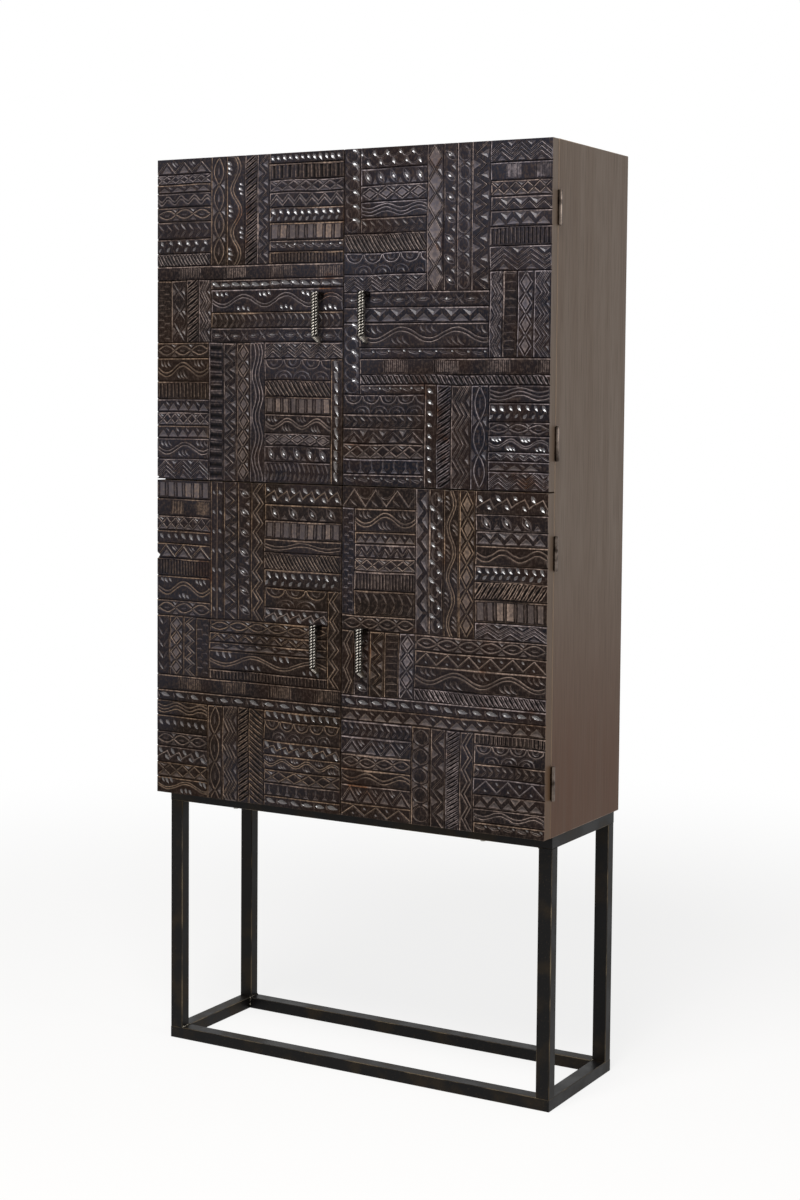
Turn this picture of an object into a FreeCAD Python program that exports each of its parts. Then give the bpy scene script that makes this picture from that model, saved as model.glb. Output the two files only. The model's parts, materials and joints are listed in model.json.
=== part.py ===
# Display cabinet: a tall wooden cabinet with four carved doors on an open iron stand.
# Millimetres. X runs to the right, Y to the back, Z up. The origin is on the floor,
# under the middle of the space that the cabinet takes up with its handles.
import FreeCAD, Part
import Sketcher
import os
import re

document = FreeCAD.newDocument("DisplayCabinet")
sheet = document.addObject("Spreadsheet::Sheet", "Sizes")

# Driving sizes, each written once and read by name everywhere else
sizes = {
    # Whole cabinet
    "body_width": 930, "body_depth": 350, "body_height": 1350, "stand_height": 550,
    # Stand: one rectangular tube for all its twelve lengths
    "tube_wide": 30, "tube_deep": 25, "tube_wall": 2,
    "stand_side_inset": 4, "stand_front_setback": 45, "stand_back_setback": 15,
    # Carcass
    "side_thick": 22, "panel_thick": 22, "groove_depth": 6,
    "back_thick": 8, "back_rebate": 10,
    "shelf_thick": 18, "shelf_play": 0.5, "shelf_setback": 20, "shelf_height_share": 0.5,
    "batten_thick": 18, "batten_height": 25,
    # Doors
    "door_thick": 25, "door_back_gap": 2, "door_centre_gap": 4, "door_row_gap": 3,
    "door_end_reveal": 1,
    # Butt hinges: each one's middle is given from the nearer end of its door
    "hinge_height": 65, "knuckle_count": 5, "knuckle_play": 0.2,
    "barrel_radius": 4.25, "barrel_side_gap": 0.25, "barrel_play": 0.3,
    "pin_radius": 2, "pin_play": 0.05, "pin_head_radius": 3.5, "pin_head_height": 1.5,
    "leaf_width": 20, "leaf_thick": 2, "leaf_play": 0.1,
    "upper_door_top_hinge": 130, "upper_door_low_hinge": 92,
    "lower_door_top_hinge": 117, "lower_door_low_hinge": 108,
    # Bow handles
    "handle_length": 104, "handle_width": 15, "handle_reach": 24, "handle_thick": 8,
    "handle_foot": 12, "handle_slant": 14, "handle_offset": 55,
    "handle_screw_radius": 2, "handle_screw_bite": 4.5,
    "handle_screw_head_radius": 4, "handle_screw_head_height": 2.5,
    # Magnetic catches and their strike plates
    "catch_width": 40, "catch_depth": 16, "catch_height": 13, "catch_gap": 0.3,
    "catch_offset": 60, "strike_width": 26, "strike_thick": 2,
    # Countersunk wood screws, one kind for hinges, catches, strikes and back
    "screw_radius": 1.75, "screw_head_radius": 3.5, "screw_head_depth": 1.8,
    "screw_length": 18, "screw_play": 0.1,
    "leaf_screw_inset": 9, "leaf_screw_end": 10, "catch_screw_end": 6,
    # Bolts that hold the carcass on the stand
    "bolt_radius": 3, "bolt_play": 0.25, "bolt_head_radius": 5.5, "bolt_head_height": 4,
    "bolt_bite": 15, "bolt_offset": 300,
    # How far a cutting shape runs past the face that it opens
    "cut_over": 1,
}

# Places and lengths that follow from the driving sizes
derived = {
    "half_width": "body_width / 2",
    "inner_half": "half_width - side_thick",
    "door_front": "(handle_reach - body_depth) / 2",
    "door_back": "door_front + door_thick",
    "carcass_front": "door_back + door_back_gap",
    "body_back": "door_front + body_depth",
    "carcass_depth": "body_back - carcass_front",
    "panel_depth": "carcass_depth - back_thick",
    "body_top": "stand_height + body_height",
    "row_level": "stand_height + body_height / 2",
    "door_width": "half_width - door_centre_gap / 2",
    "door_height": "body_height / 2 - door_row_gap / 2 - door_end_reveal",
    "upper_door_low": "row_level + door_row_gap / 2",
    "lower_door_low": "stand_height + door_end_reveal",
    "room_height": "(body_height - 3 * panel_thick) / 2",
    "upper_room_low": "row_level + panel_thick / 2",
    "lower_room_low": "stand_height + panel_thick",
    "stand_half": "half_width - stand_side_inset",
    "stand_front": "door_front + stand_front_setback",
    "stand_back": "body_back - stand_back_setback",
    "stand_depth": "stand_back - stand_front",
    "axis_reach": "barrel_radius + barrel_side_gap",
    "axis_across": "half_width + axis_reach",
    "axis_depth": "door_back + door_back_gap / 2",
    "knuckle_height": "hinge_height / knuckle_count",
    "barrel_clear": "barrel_radius + barrel_play",
    "strike_height": "catch_height",
    "catch_front": "door_back + strike_thick + catch_gap",
}

for line, (alias, value) in enumerate(sizes.items(), start=1):
    sheet.set(f"A{line}", alias)
    sheet.set(f"B{line}", str(value))
    sheet.setAlias(f"B{line}", alias)
document.recompute()

right, left = 1, -1
along_x = FreeCAD.Vector(1, 0, 0)
along_y = FreeCAD.Vector(0, 1, 0)
along_z = FreeCAD.Vector(0, 0, 1)
upright = FreeCAD.Rotation()
to_back = FreeCAD.Rotation(along_x, -90)
to_front = FreeCAD.Rotation(along_x, 90)
turned_over = FreeCAD.Rotation(along_y, 180)
subparts = []


# Writes a formula of named sizes the way the sheet's cells are called
def formula(text):
    def swap(found):
        word = found.group(0)
        if word in sizes:
            return "Sizes." + word
        if word in derived:
            return "(" + formula(derived[word]) + ")"
        return word
    return re.sub(r"[a-z][a-z_]*", swap, str(text))


def bind(piece, properties, formulas):
    for prop, text in zip(properties, formulas):
        piece.setExpression(prop, formula(text))
    return piece


def place(piece, corner, rotation=upright):
    piece.Placement = FreeCAD.Placement(FreeCAD.Vector(), rotation)
    axes = ("Placement.Base.x", "Placement.Base.y", "Placement.Base.z")
    return bind(piece, axes, corner)


def box(size, corner):
    piece = document.addObject("Part::Box", "Box")
    bind(piece, ("Length", "Width", "Height"), size)
    return place(piece, corner)


def cylinder(radius, height, corner, rotation=upright):
    piece = document.addObject("Part::Cylinder", "Cylinder")
    bind(piece, ("Radius", "Height"), (radius, height))
    return place(piece, corner, rotation)


def cone(low_radius, high_radius, height):
    piece = document.addObject("Part::Cone", "Cone")
    return bind(piece, ("Radius1", "Radius2", "Height"), (low_radius, high_radius, height))


# A straight length with both ends mitred, longest on its outer side at Y zero
def mitred(length, start, end, low, high, over):
    piece = document.addObject("Part::Wedge", "Mitred")
    bind(piece, ("Xmin", "Xmax"), (f"{start} - {over}", f"{length} - {start} + {over}"))
    bind(piece, ("X2min", "X2max"), (f"{end} - {over}", f"{length} - {end} + {over}"))
    bind(piece, ("Ymin", "Ymax"), (start, end))
    bind(piece, ("Zmin", "Zmax", "Z2min", "Z2max"), (low, high, low, high))
    return piece


def fused(pieces):
    whole = document.addObject("Part::MultiFuse", "Fused")
    whole.Shapes = pieces
    return whole


def grouped(pieces):
    group = document.addObject("Part::Compound", "Group")
    group.Links = pieces
    return group


def cut(base, tools):
    result = document.addObject("Part::Cut", "Cut")
    result.Base = base
    result.Tool = tools[0] if len(tools) == 1 else grouped(tools)
    return result


def keep(piece, node):
    piece.Label = node
    subparts.append(piece)
    return piece


# A countersunk screw whose head face is at the origin and whose point is up
def screw(corner, rotation):
    head = cone("screw_head_radius", "screw_radius", "screw_head_depth")
    shank = cylinder("screw_radius", "screw_length", (0, 0, 0))
    return place(fused([head, shank]), corner, rotation)


# The room that a screw takes in the piece under its head
def screw_seat(corner, rotation):
    mouth = cone("screw_head_radius + screw_play", "screw_radius + screw_play",
                 "screw_head_depth")
    shank = cylinder("screw_radius + screw_play", "screw_length", (0, 0, 0))
    return place(fused([mouth, shank]), corner, rotation)


# The hole for a screw's shank in the wood behind
def pilot(corner, rotation):
    return cylinder("screw_radius + screw_play", "screw_length + screw_play", corner, rotation)


# A place across, on the right half as it is or on the left half mirrored
def mirrored(side, text):
    return f"{side} * ({text})"


# Heights of the three fixed boards that the sides hold in grooves
boards = {
    "bottom_board": "stand_height",
    "middle_board": "row_level - panel_thick / 2",
    "top_board": "body_top - panel_thick",
}

# The two rows of doors: their floors, hinge middles and the board that holds their catches
rows = {
    "upper": {
        "low": "upper_door_low", "room": "upper_room_low",
        "hinges": {
            "top": "upper_door_low + door_height - upper_door_top_hinge",
            "low": "upper_door_low + upper_door_low_hinge",
        },
        "catch_board": "top_board",
    },
    "lower": {
        "low": "lower_door_low", "room": "lower_room_low",
        "hinges": {
            "top": "lower_door_low + door_height - lower_door_top_hinge",
            "low": "lower_door_low + lower_door_low_hinge",
        },
        "catch_board": "middle_board",
    },
}
sides = {"left": left, "right": right}

# Screw places on one hinge leaf: how far in from the cabinet's side, and above its middle
leaf_screws = [
    ("leaf_width - leaf_screw_inset", "leaf_screw_end - hinge_height / 2"),
    ("leaf_screw_inset", "0"),
    ("leaf_width - leaf_screw_inset", "hinge_height / 2 - leaf_screw_end"),
]


# Tube lengths of the stand: two mitred frames with four legs between them
def rail(node, length, corner, turn, holes=()):
    outer = mitred(length, "0", "tube_wide", "0", "tube_deep", "0")
    hollow = mitred(length, "tube_wall", "tube_wide - tube_wall",
                    "tube_wall", "tube_deep - tube_wall", "cut_over")
    tube = cut(outer, [hollow] + list(holes))
    keep(place(tube, corner, FreeCAD.Rotation(along_z, turn)), node)


def stand():
    lengths = {
        "front": ("2 * stand_half", ("-stand_half", "stand_front"), 0),
        "right": ("stand_depth", ("stand_half", "stand_front"), 90),
        "back": ("2 * stand_half", ("stand_half", "stand_back"), 180),
        "left": ("stand_depth", ("-stand_half", "stand_back"), 270),
    }
    for level, low in (("top", "stand_height - tube_deep"), ("floor", "0")):
        for name, (length, (across, depth), turn) in lengths.items():
            holes = []
            if level == "top" and name in ("front", "back"):
                for side in sides.values():
                    spot = (f"stand_half + {mirrored(side, 'bolt_offset')}",
                            "tube_wide / 2", "-cut_over")
                    holes.append(cylinder("bolt_radius + bolt_play",
                                          "tube_deep + 2 * cut_over", spot))
            rail(f"stand_{level}_rail_{name}", length, (across, depth, low), turn, holes)
    for end, depth in (("front", "stand_front"), ("back", "stand_back - tube_deep")):
        for name, across in (("left", "-stand_half"), ("right", "stand_half - tube_wide")):
            tall = "stand_height - 2 * tube_deep"
            outer = box(("tube_wide", "tube_deep", tall), (0, 0, 0))
            hollow = box(("tube_wide - 2 * tube_wall", "tube_deep - 2 * tube_wall",
                          f"{tall} + 2 * cut_over"), ("tube_wall", "tube_wall", "-cut_over"))
            leg = cut(outer, [hollow])
            keep(place(leg, (across, depth, "tube_deep")), f"stand_leg_{end}_{name}")


def stand_bolts():
    bolts = []
    for depth in ("stand_front + tube_wide / 2", "stand_back - tube_wide / 2"):
        for side in sides.values():
            head = cylinder("bolt_head_radius", "bolt_head_height", (0, 0, "-bolt_head_height"))
            shank = cylinder("bolt_radius", "tube_deep + bolt_bite", (0, 0, 0))
            spot = (mirrored(side, "bolt_offset"), depth, "stand_height - tube_deep")
            bolts.append(place(fused([head, shank]), spot))
    keep(grouped(bolts), "stand_bolts")


# Back screws: shares of the inner width on the boards, of a room's height on the sides
back_screw_width_shares = (-0.8, -0.27, 0.27, 0.8)
back_screw_height_shares = (0.25, 0.75)


def back_screw_spots(board):
    level = f"{boards[board]} + panel_thick / 2"
    return [(f"inner_half * {share}", "body_back", level) for share in back_screw_width_shares]


def side_back_screw_spots(side):
    spots = []
    for row in rows.values():
        for share in back_screw_height_shares:
            spots.append((mirrored(side, "inner_half + back_rebate / 2"), "body_back",
                          f"{row['room']} + room_height * {share}"))
    return spots


def side_panel(name, side):
    low_x = "inner_half" if side == right else "-half_width"
    panel = box(("side_thick", "carcass_depth", "body_height"),
                (low_x, "carcass_front", "stand_height"))
    groove_x = "inner_half - cut_over" if side == right else "-inner_half - groove_depth"
    tools = []
    for level in boards.values():
        tools.append(box(("groove_depth + cut_over", "carcass_depth + 2 * cut_over", "panel_thick"),
                         (groove_x, "carcass_front - cut_over", level)))
    rebate_x = "inner_half - cut_over" if side == right else "-inner_half - back_rebate"
    tools.append(box(("back_rebate + cut_over", "back_thick + cut_over",
                      "body_height + 2 * cut_over"),
                     (rebate_x, "body_back - back_thick", "stand_height - cut_over")))
    seat_wide = "leaf_width + leaf_play + cut_over"
    seat_x = "half_width - leaf_width - leaf_play" if side == right else "-half_width - cut_over"
    for row in rows.values():
        for middle in row["hinges"].values():
            tools.append(box((seat_wide, "leaf_thick + cut_over", "hinge_height + 2 * leaf_play"),
                             (seat_x, "carcass_front - cut_over",
                              f"{middle} - hinge_height / 2 - leaf_play")))
            for inset, above in leaf_screws:
                tools.append(pilot((mirrored(side, f"half_width - ({inset})"),
                                    "carcass_front", f"{middle} + {above}"), to_back))
    tools += [pilot(spot, to_front) for spot in side_back_screw_spots(side)]
    keep(cut(panel, tools), f"side_panel_{name}")


def board(node, level):
    long = "2 * (inner_half + groove_depth)"
    panel = box((long, "panel_depth", "panel_thick"),
                ("-inner_half - groove_depth", "carcass_front", level))
    tools = [pilot(spot, to_front) for spot in back_screw_spots(node)]
    if node == "bottom_board":
        for depth in ("stand_front + tube_wide / 2", "stand_back - tube_wide / 2"):
            for side in sides.values():
                tools.append(cylinder("bolt_radius + bolt_play",
                                      "bolt_bite + bolt_play + cut_over",
                                      (mirrored(side, "bolt_offset"), depth,
                                       "stand_height - cut_over")))
    for row in rows.values():
        if row["catch_board"] == node:
            tools += [pilot(spot, upright) for spot in catch_screw_spots(row)]
    keep(cut(panel, tools), node)


# Screws of the two catches under one board, given at the heads
def catch_screw_spots(row):
    spots = []
    level = f"{boards[row['catch_board']]} - catch_height"
    for side in sides.values():
        for end in (left, right):
            across = f"{mirrored(side, 'catch_offset')} + {end} * (catch_width / 2 - catch_screw_end)"
            spots.append((across, "catch_front + catch_depth / 2", level))
    return spots


def back_panel():
    panel = box(("2 * (inner_half + back_rebate)", "back_thick", "body_height"),
                ("-inner_half - back_rebate", "body_back - back_thick", "stand_height"))
    spots = []
    for name in boards:
        spots += back_screw_spots(name)
    for side in sides.values():
        spots += side_back_screw_spots(side)
    keep(cut(panel, [screw_seat(spot, to_front) for spot in spots]), "back_panel")
    keep(grouped([screw(spot, to_front) for spot in spots]), "back_screws")


def shelves():
    for name, row in rows.items():
        low = f"{row['room']} + room_height * shelf_height_share - shelf_thick / 2"
        shelf = box(("2 * (inner_half - shelf_play)", "panel_depth - shelf_setback", "shelf_thick"),
                    ("shelf_play - inner_half", "carcass_front + shelf_setback", low))
        keep(shelf, f"shelf_{name}")
        battens = []
        for across in ("-inner_half", "inner_half - batten_thick"):
            battens.append(box(("batten_thick", "panel_depth - shelf_setback", "batten_height"),
                               (across, "carcass_front + shelf_setback",
                                f"{low} - batten_height")))
        keep(grouped(battens), f"shelf_battens_{name}")


# One leaf with its knuckles, drawn for the right side about the hinge's axis.
# The frame's leaf lies behind the axis and has the odd knuckles, the door's the even ones.
def leaf(node, on_frame, spot, side):
    plate_low = "door_back_gap / 2" if on_frame else "-door_back_gap / 2 - leaf_thick"
    face = "door_back_gap / 2" if on_frame else "-door_back_gap / 2"
    inward = to_back if on_frame else to_front
    plate = box(("leaf_width + axis_reach - barrel_clear", "leaf_thick", "hinge_height"),
                ("-axis_reach - leaf_width", plate_low, "-hinge_height / 2"))
    pieces = [plate]
    for index in range(int(sizes["knuckle_count"])):
        if (index % 2 == 0) != on_frame:
            continue
        first = index == 0
        last = index == sizes["knuckle_count"] - 1
        low = f"knuckle_height * {index} - hinge_height / 2"
        start = low if first else f"{low} + knuckle_play / 2"
        shared = int(not first) + int(not last)
        tall = f"knuckle_height - knuckle_play * {shared} / 2"
        pieces.append(cylinder("barrel_radius", tall, (0, 0, start)))
        pieces.append(box(("barrel_clear", "leaf_thick", tall), ("-barrel_clear", plate_low, start)))
    tools = [cylinder("pin_radius + pin_play", "hinge_height + 2 * cut_over",
                      (0, 0, "-hinge_height / 2 - cut_over"))]
    for inset, above in leaf_screws:
        tools.append(screw_seat((f"-axis_reach - ({inset})", face, above), inward))
    whole = cut(fused(pieces), tools)
    keep(place(whole, spot, upright if side == right else turned_over), node)


def hinge_pin(spot):
    shank = cylinder("pin_radius", "hinge_height", (0, 0, "-hinge_height / 2"))
    low_head = cylinder("pin_head_radius", "pin_head_height",
                        (0, 0, "-hinge_height / 2 - pin_head_height"))
    top_head = cylinder("pin_head_radius", "pin_head_height", (0, 0, "hinge_height / 2"))
    return place(fused([shank, low_head, top_head]), spot)


def hinges():
    pins = []
    frame_screws = []
    for row_name, row in rows.items():
        for side_name, side in sides.items():
            for end, middle in row["hinges"].items():
                spot = (mirrored(side, "axis_across"), "axis_depth", middle)
                name = f"{row_name}_{side_name}_{end}"
                leaf(f"hinge_{name}_frame_leaf", True, spot, side)
                leaf(f"hinge_{name}_door_leaf", False, spot, side)
                pins.append(hinge_pin(spot))
                for inset, above in leaf_screws:
                    frame_screws.append(screw((mirrored(side, f"half_width - ({inset})"),
                                               "carcass_front", f"{middle} + {above}"), to_back))
    keep(grouped(pins), "hinge_pins")
    return frame_screws


def door(name, row, side):
    low_x = "door_centre_gap / 2" if side == right else "-half_width"
    slab = box(("door_width", "door_thick", "door_height"), (low_x, "door_front", row["low"]))
    seat_x = "half_width - leaf_width - leaf_play" if side == right else "-half_width - cut_over"
    tools = []
    screws = []
    for middle in row["hinges"].values():
        tools.append(box(("leaf_width + leaf_play + cut_over", "leaf_thick + cut_over",
                          "hinge_height + 2 * leaf_play"),
                         (seat_x, "door_back - leaf_thick",
                          f"{middle} - hinge_height / 2 - leaf_play")))
        for inset, above in leaf_screws:
            spot = (mirrored(side, f"half_width - ({inset})"), "door_back", f"{middle} + {above}")
            tools.append(pilot(spot, to_front))
            screws.append(screw(spot, to_front))
    handle_middle = f"{row['low']} + door_height / 2"
    for end in (left, right):
        spot = (mirrored(side, "handle_offset"), "door_back",
                f"{handle_middle} + {end} * (handle_length - handle_foot) / 2")
        tools.append(cylinder("handle_screw_radius + screw_play", "door_thick + 2 * cut_over",
                              (spot[0], "door_back + cut_over", spot[2]), to_front))
        shank = cylinder("handle_screw_radius", "door_thick + handle_screw_bite", (0, 0, 0))
        head = cylinder("handle_screw_head_radius", "handle_screw_head_height",
                        (0, 0, "-handle_screw_head_height"))
        screws.append(place(fused([shank, head]), spot, to_front))
    strike_top = boards[row["catch_board"]]
    strike_spot = (mirrored(side, "catch_offset"), "door_back + strike_thick",
                   f"{strike_top} - strike_height / 2")
    tools.append(pilot(strike_spot, to_front))
    screws.append(screw(strike_spot, to_front))
    keep(cut(slab, tools), f"door_{name}")
    keep(grouped(screws), f"door_screws_{name}")
    plate = box(("strike_width", "strike_thick", "strike_height"),
                (f"{strike_spot[0]} - strike_width / 2", "door_back",
                 f"{strike_top} - strike_height"))
    keep(cut(plate, [screw_seat(strike_spot, to_front)]), f"strike_plate_{name}")


def catches():
    bodies = []
    screws = []
    for row in rows.values():
        spots = catch_screw_spots(row)
        seats = [screw_seat(spot, upright) for spot in spots]
        for side in sides.values():
            body = box(("catch_width", "catch_depth", "catch_height"),
                       (f"{mirrored(side, 'catch_offset')} - catch_width / 2", "catch_front",
                        f"{boards[row['catch_board']]} - catch_height"))
            bodies.append(cut(body, [seats.pop(0), seats.pop(0)]))
        screws += [screw(spot, upright) for spot in spots]
    keep(grouped(bodies), "door_catches")
    return screws


# Side outline of a bow handle from its middle, each point as sums of shares of named sizes:
# how far out from the door, negative to the front, and how far up
handle_outline_shares = [
    ({}, {"handle_length": -0.5}),
    ({"handle_reach": -1}, {"handle_length": -0.5, "handle_slant": 1}),
    ({"handle_reach": -1}, {"handle_length": 0.5}),
    ({}, {"handle_length": 0.5}),
    ({}, {"handle_length": 0.5, "handle_foot": -1}),
    ({"handle_reach": -1, "handle_thick": 1}, {"handle_length": 0.5, "handle_foot": -1}),
    ({"handle_reach": -1, "handle_thick": 1},
     {"handle_length": -0.5, "handle_foot": 1, "handle_slant": 0.5}),
    ({}, {"handle_length": -0.5, "handle_foot": 1}),
]


def amount(shares):
    return sum(sizes[name] * share for name, share in shares.items())


def wording(shares):
    return " + ".join(f"{share} * {name}" for name, share in shares.items()) or "0"


def handle(name, row, side):
    body = document.addObject("PartDesign::Body", "Handle")
    plane = [item for item in body.Origin.OriginFeatures if item.Role == "YZ_Plane"][0]
    sketch = body.newObject("Sketcher::SketchObject", "HandleOutline")
    sketch.AttachmentSupport = (plane, [""])
    sketch.MapMode = "FlatFace"
    points = [FreeCAD.Vector(amount(out), amount(up), 0) for out, up in handle_outline_shares]
    for index, point in enumerate(points):
        sketch.addGeometry(Part.LineSegment(point, points[(index + 1) % len(points)]), False)
    for index, shares in enumerate(handle_outline_shares):
        following = (index + 1) % len(points)
        sketch.addConstraint(Sketcher.Constraint("Coincident", index, 2, following, 1))
        for kind, part in zip(("DistanceX", "DistanceY"), shares):
            constraint = Sketcher.Constraint(kind, -1, 1, index, 1, amount(part))
            order = sketch.addConstraint(constraint)
            sketch.setExpression(f"Constraints[{order}]", formula(wording(part)))
    pad = body.newObject("PartDesign::Pad", "HandlePad")
    pad.Profile = sketch
    pad.SideType = "Symmetric"
    pad.setExpression("Length", formula("handle_width"))
    body.Tip = pad
    holes = []
    for end in (left, right):
        level = f"{end} * (handle_length - handle_foot) / 2"
        holes.append(cylinder("handle_screw_radius + screw_play",
                              "handle_screw_bite + screw_play + cut_over",
                              (0, "cut_over", level), to_front))
    spot = (mirrored(side, "handle_offset"), "door_front", f"{row['low']} + door_height / 2")
    keep(place(cut(body, holes), spot), f"handle_{name}")


stand()
stand_bolts()
for side_name, side in sides.items():
    side_panel(side_name, side)
for node, level in boards.items():
    board(node, level)
back_panel()
shelves()
keep(grouped(hinges() + catches()), "frame_screws")
for row_name, row in rows.items():
    for side_name, side in sides.items():
        door(f"{row_name}_{side_name}", row, side)
        handle(f"{row_name}_{side_name}", row, side)

document.recompute()
for item in document.Objects:
    if "Invalid" in item.State or "Error" in item.State:
        raise RuntimeError(f"{item.Name} ({item.Label}) did not compute: {item.State}")
for piece in subparts:
    if piece.Shape.isNull() or not piece.Shape.isValid():
        raise RuntimeError(f"{piece.Label} has no valid shape")

os.makedirs("parts", exist_ok=True)
for piece in subparts:
    piece.Shape.exportStep(f"parts/{piece.Label}.step")
    solids = piece.Shape.Solids
    print(f"{piece.Label}: {len(solids)} solids, {piece.Shape.Volume:.0f} mm3")
print(f"{len(subparts)} sub-parts")
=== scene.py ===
import itertools
import json
import math
import random

import bmesh
import bpy
import numpy as np
from mathutils import Euler, Matrix, Vector
from mathutils.geometry import delaunay_2d_cdt


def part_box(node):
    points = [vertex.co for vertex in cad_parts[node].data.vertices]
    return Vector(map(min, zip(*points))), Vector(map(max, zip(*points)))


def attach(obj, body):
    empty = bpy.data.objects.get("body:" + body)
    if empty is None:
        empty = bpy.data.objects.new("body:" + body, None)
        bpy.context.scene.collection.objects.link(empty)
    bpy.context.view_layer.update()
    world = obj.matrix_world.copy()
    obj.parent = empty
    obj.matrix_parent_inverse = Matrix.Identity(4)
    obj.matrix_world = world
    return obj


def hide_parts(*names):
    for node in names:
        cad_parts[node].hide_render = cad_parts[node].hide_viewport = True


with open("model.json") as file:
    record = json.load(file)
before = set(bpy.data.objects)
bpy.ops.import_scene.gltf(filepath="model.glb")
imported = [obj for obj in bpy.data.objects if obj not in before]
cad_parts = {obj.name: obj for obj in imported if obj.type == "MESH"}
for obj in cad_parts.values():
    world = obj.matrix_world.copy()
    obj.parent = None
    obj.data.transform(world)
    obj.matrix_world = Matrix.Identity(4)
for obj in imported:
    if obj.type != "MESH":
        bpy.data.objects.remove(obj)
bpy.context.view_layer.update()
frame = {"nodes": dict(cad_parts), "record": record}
nodes = frame["nodes"]
mm = 0.001
print("frame loaded:", len(nodes), "nodes")


# Small helpers

def linear(hexCode):
    parts = [int(hexCode[i:i + 2], 16) / 255 for i in (1, 3, 5)]
    return [c / 12.92 if c <= 0.04045 else ((c + 0.055) / 1.055) ** 2.4 for c in parts] + [1.0]


def addNode(tree, kind, inputs=None, **settings):
    # inputs: {socket name or number: a value, a node (for its first output) or another output to link}
    node = tree.nodes.new(kind)
    for name, value in settings.items():
        setattr(node, name, value)
    for name, value in (inputs or {}).items():
        value = value.outputs[0] if isinstance(value, bpy.types.Node) else value
        if isinstance(value, bpy.types.NodeSocket):
            tree.links.new(value, node.inputs[name])
        else:
            node.inputs[name].default_value = value
    return node


def addObject(name, data):
    item = bpy.data.objects.new(name, data)
    bpy.context.scene.collection.objects.link(item)
    return item


def newMaterial(name):
    material = bpy.data.materials.new(name)
    material.use_nodes = True
    material.node_tree.nodes.clear()
    return material, material.node_tree


# Camera at the photograph's place, fitted to the corners of the body, doors and stand

cameraSet = {
    "place": (2.1663, -3.6272, 1.4119),
    "turn": 29.14, "tilt": -3.6, "lean": 0.55,       # degrees
    "lens": 60.53, "sensor": 36, "shift": (-0.036, -0.0659),
    "sees": 60,                                      # how far, in metres
}


def addCamera():
    data = bpy.data.cameras.new("photoCamera")
    data.lens = cameraSet["lens"]
    data.sensor_width = cameraSet["sensor"]
    data.shift_x, data.shift_y = cameraSet["shift"]
    data.clip_end = cameraSet["sees"]
    camera = addObject("photoCamera", data)
    turn = Euler((math.radians(90 + cameraSet["tilt"]), 0, math.radians(cameraSet["turn"])))
    lean = Matrix.Rotation(math.radians(cameraSet["lean"]), 4, "Z")
    camera.matrix_world = Matrix.Translation(cameraSet["place"]) @ turn.to_matrix().to_4x4() @ lean
    bpy.context.scene.camera = camera


addCamera()
print("camera placed")


# Materials. A look has noises, by name: (scale per metre, detail), the ones under "grain" drawn out by its
# stretch. Layers of colour lie over its ground. A layer's share is the product of its fields, each eased
# between two of its values: (field, from, to, least share, most share). Roughness follows a noise.

def addFields(tree, look):
    place = addNode(tree, "ShaderNodeTexCoord").outputs["Object"]
    fields = {}
    for name in look.get("reads", ()):
        if name == "height":
            fields[name] = addNode(tree, "ShaderNodeSeparateXYZ", {0: place}).outputs[2]
            continue
        read = addNode(tree, "ShaderNodeAttribute", attribute_name=name)
        fields[name] = read.outputs["Fac"]
        if name == "carving":
            parts = addNode(tree, "ShaderNodeSeparateColor", {0: read.outputs["Color"]})
            fields.update(worn=parts.outputs[0], black=parts.outputs[1], tone=read.outputs["Alpha"])
    spots = {"noise": place}
    if "grain" in look:
        drawn = {"Vector": place, "Rotation": (0, look.get("lean", 0), 0), "Scale": look["stretch"]}
        spots["grain"] = addNode(tree, "ShaderNodeMapping", drawn)
    for kind, spot in spots.items():
        for name, (scale, detail) in look.get(kind, {}).items():
            drawn = {"Vector": spot, "Scale": scale, "Detail": detail}
            fields[name] = addNode(tree, "ShaderNodeTexNoise", drawn)
    return fields


def combined(tree, fields, spans, operation="MULTIPLY"):
    total = None
    for name, *span in spans:
        part = fields[name]
        if span:
            easing = {0: part, **dict(enumerate(span, 1))}
            part = addNode(tree, "ShaderNodeMapRange", easing, interpolation_type="SMOOTHSTEP")
        if total is not None:
            part = addNode(tree, "ShaderNodeMath", {0: total, 1: part}, operation=operation)
        total = part
    return total


def layered(tree, fields, ground, layers):
    # a layer's colour may be a ground with layers of its own
    base = linear(ground)
    for colour, *spans in layers:
        share = combined(tree, fields, spans)
        over = linear(colour) if isinstance(colour, str) else layered(tree, fields, *colour)
        base = addNode(tree, "ShaderNodeMix", {0: share, 6: base, 7: over}, data_type="RGBA").outputs[2]
    return base


noiseSpan = (0.3, 0.7)                               # where most of a noise's values lie


def makeMaterial(look):
    material, tree = newMaterial(look["name"])
    fields = addFields(tree, look)
    for name, spans in look.get("sums", {}).items():
        fields[name] = combined(tree, fields, spans, "ADD")
    inputs = dict(look["shader"], **{"Base Color": layered(tree, fields, look["ground"], look["layers"])})
    if "rough" in look:
        name, least, most = look["rough"]
        inputs["Roughness"] = combined(tree, fields, [(name, *noiseSpan, least, most)])
    if "bump" in look:
        name, strength, depth = look["bump"]
        relief = {"Strength": strength, "Distance": depth, "Height": fields[name]}
        inputs["Normal"] = addNode(tree, "ShaderNodeBump", relief)
    shader = addNode(tree, "ShaderNodeBsdfPrincipled", inputs)
    addNode(tree, "ShaderNodeOutputMaterial", {"Surface": shader})
    return material


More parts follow.
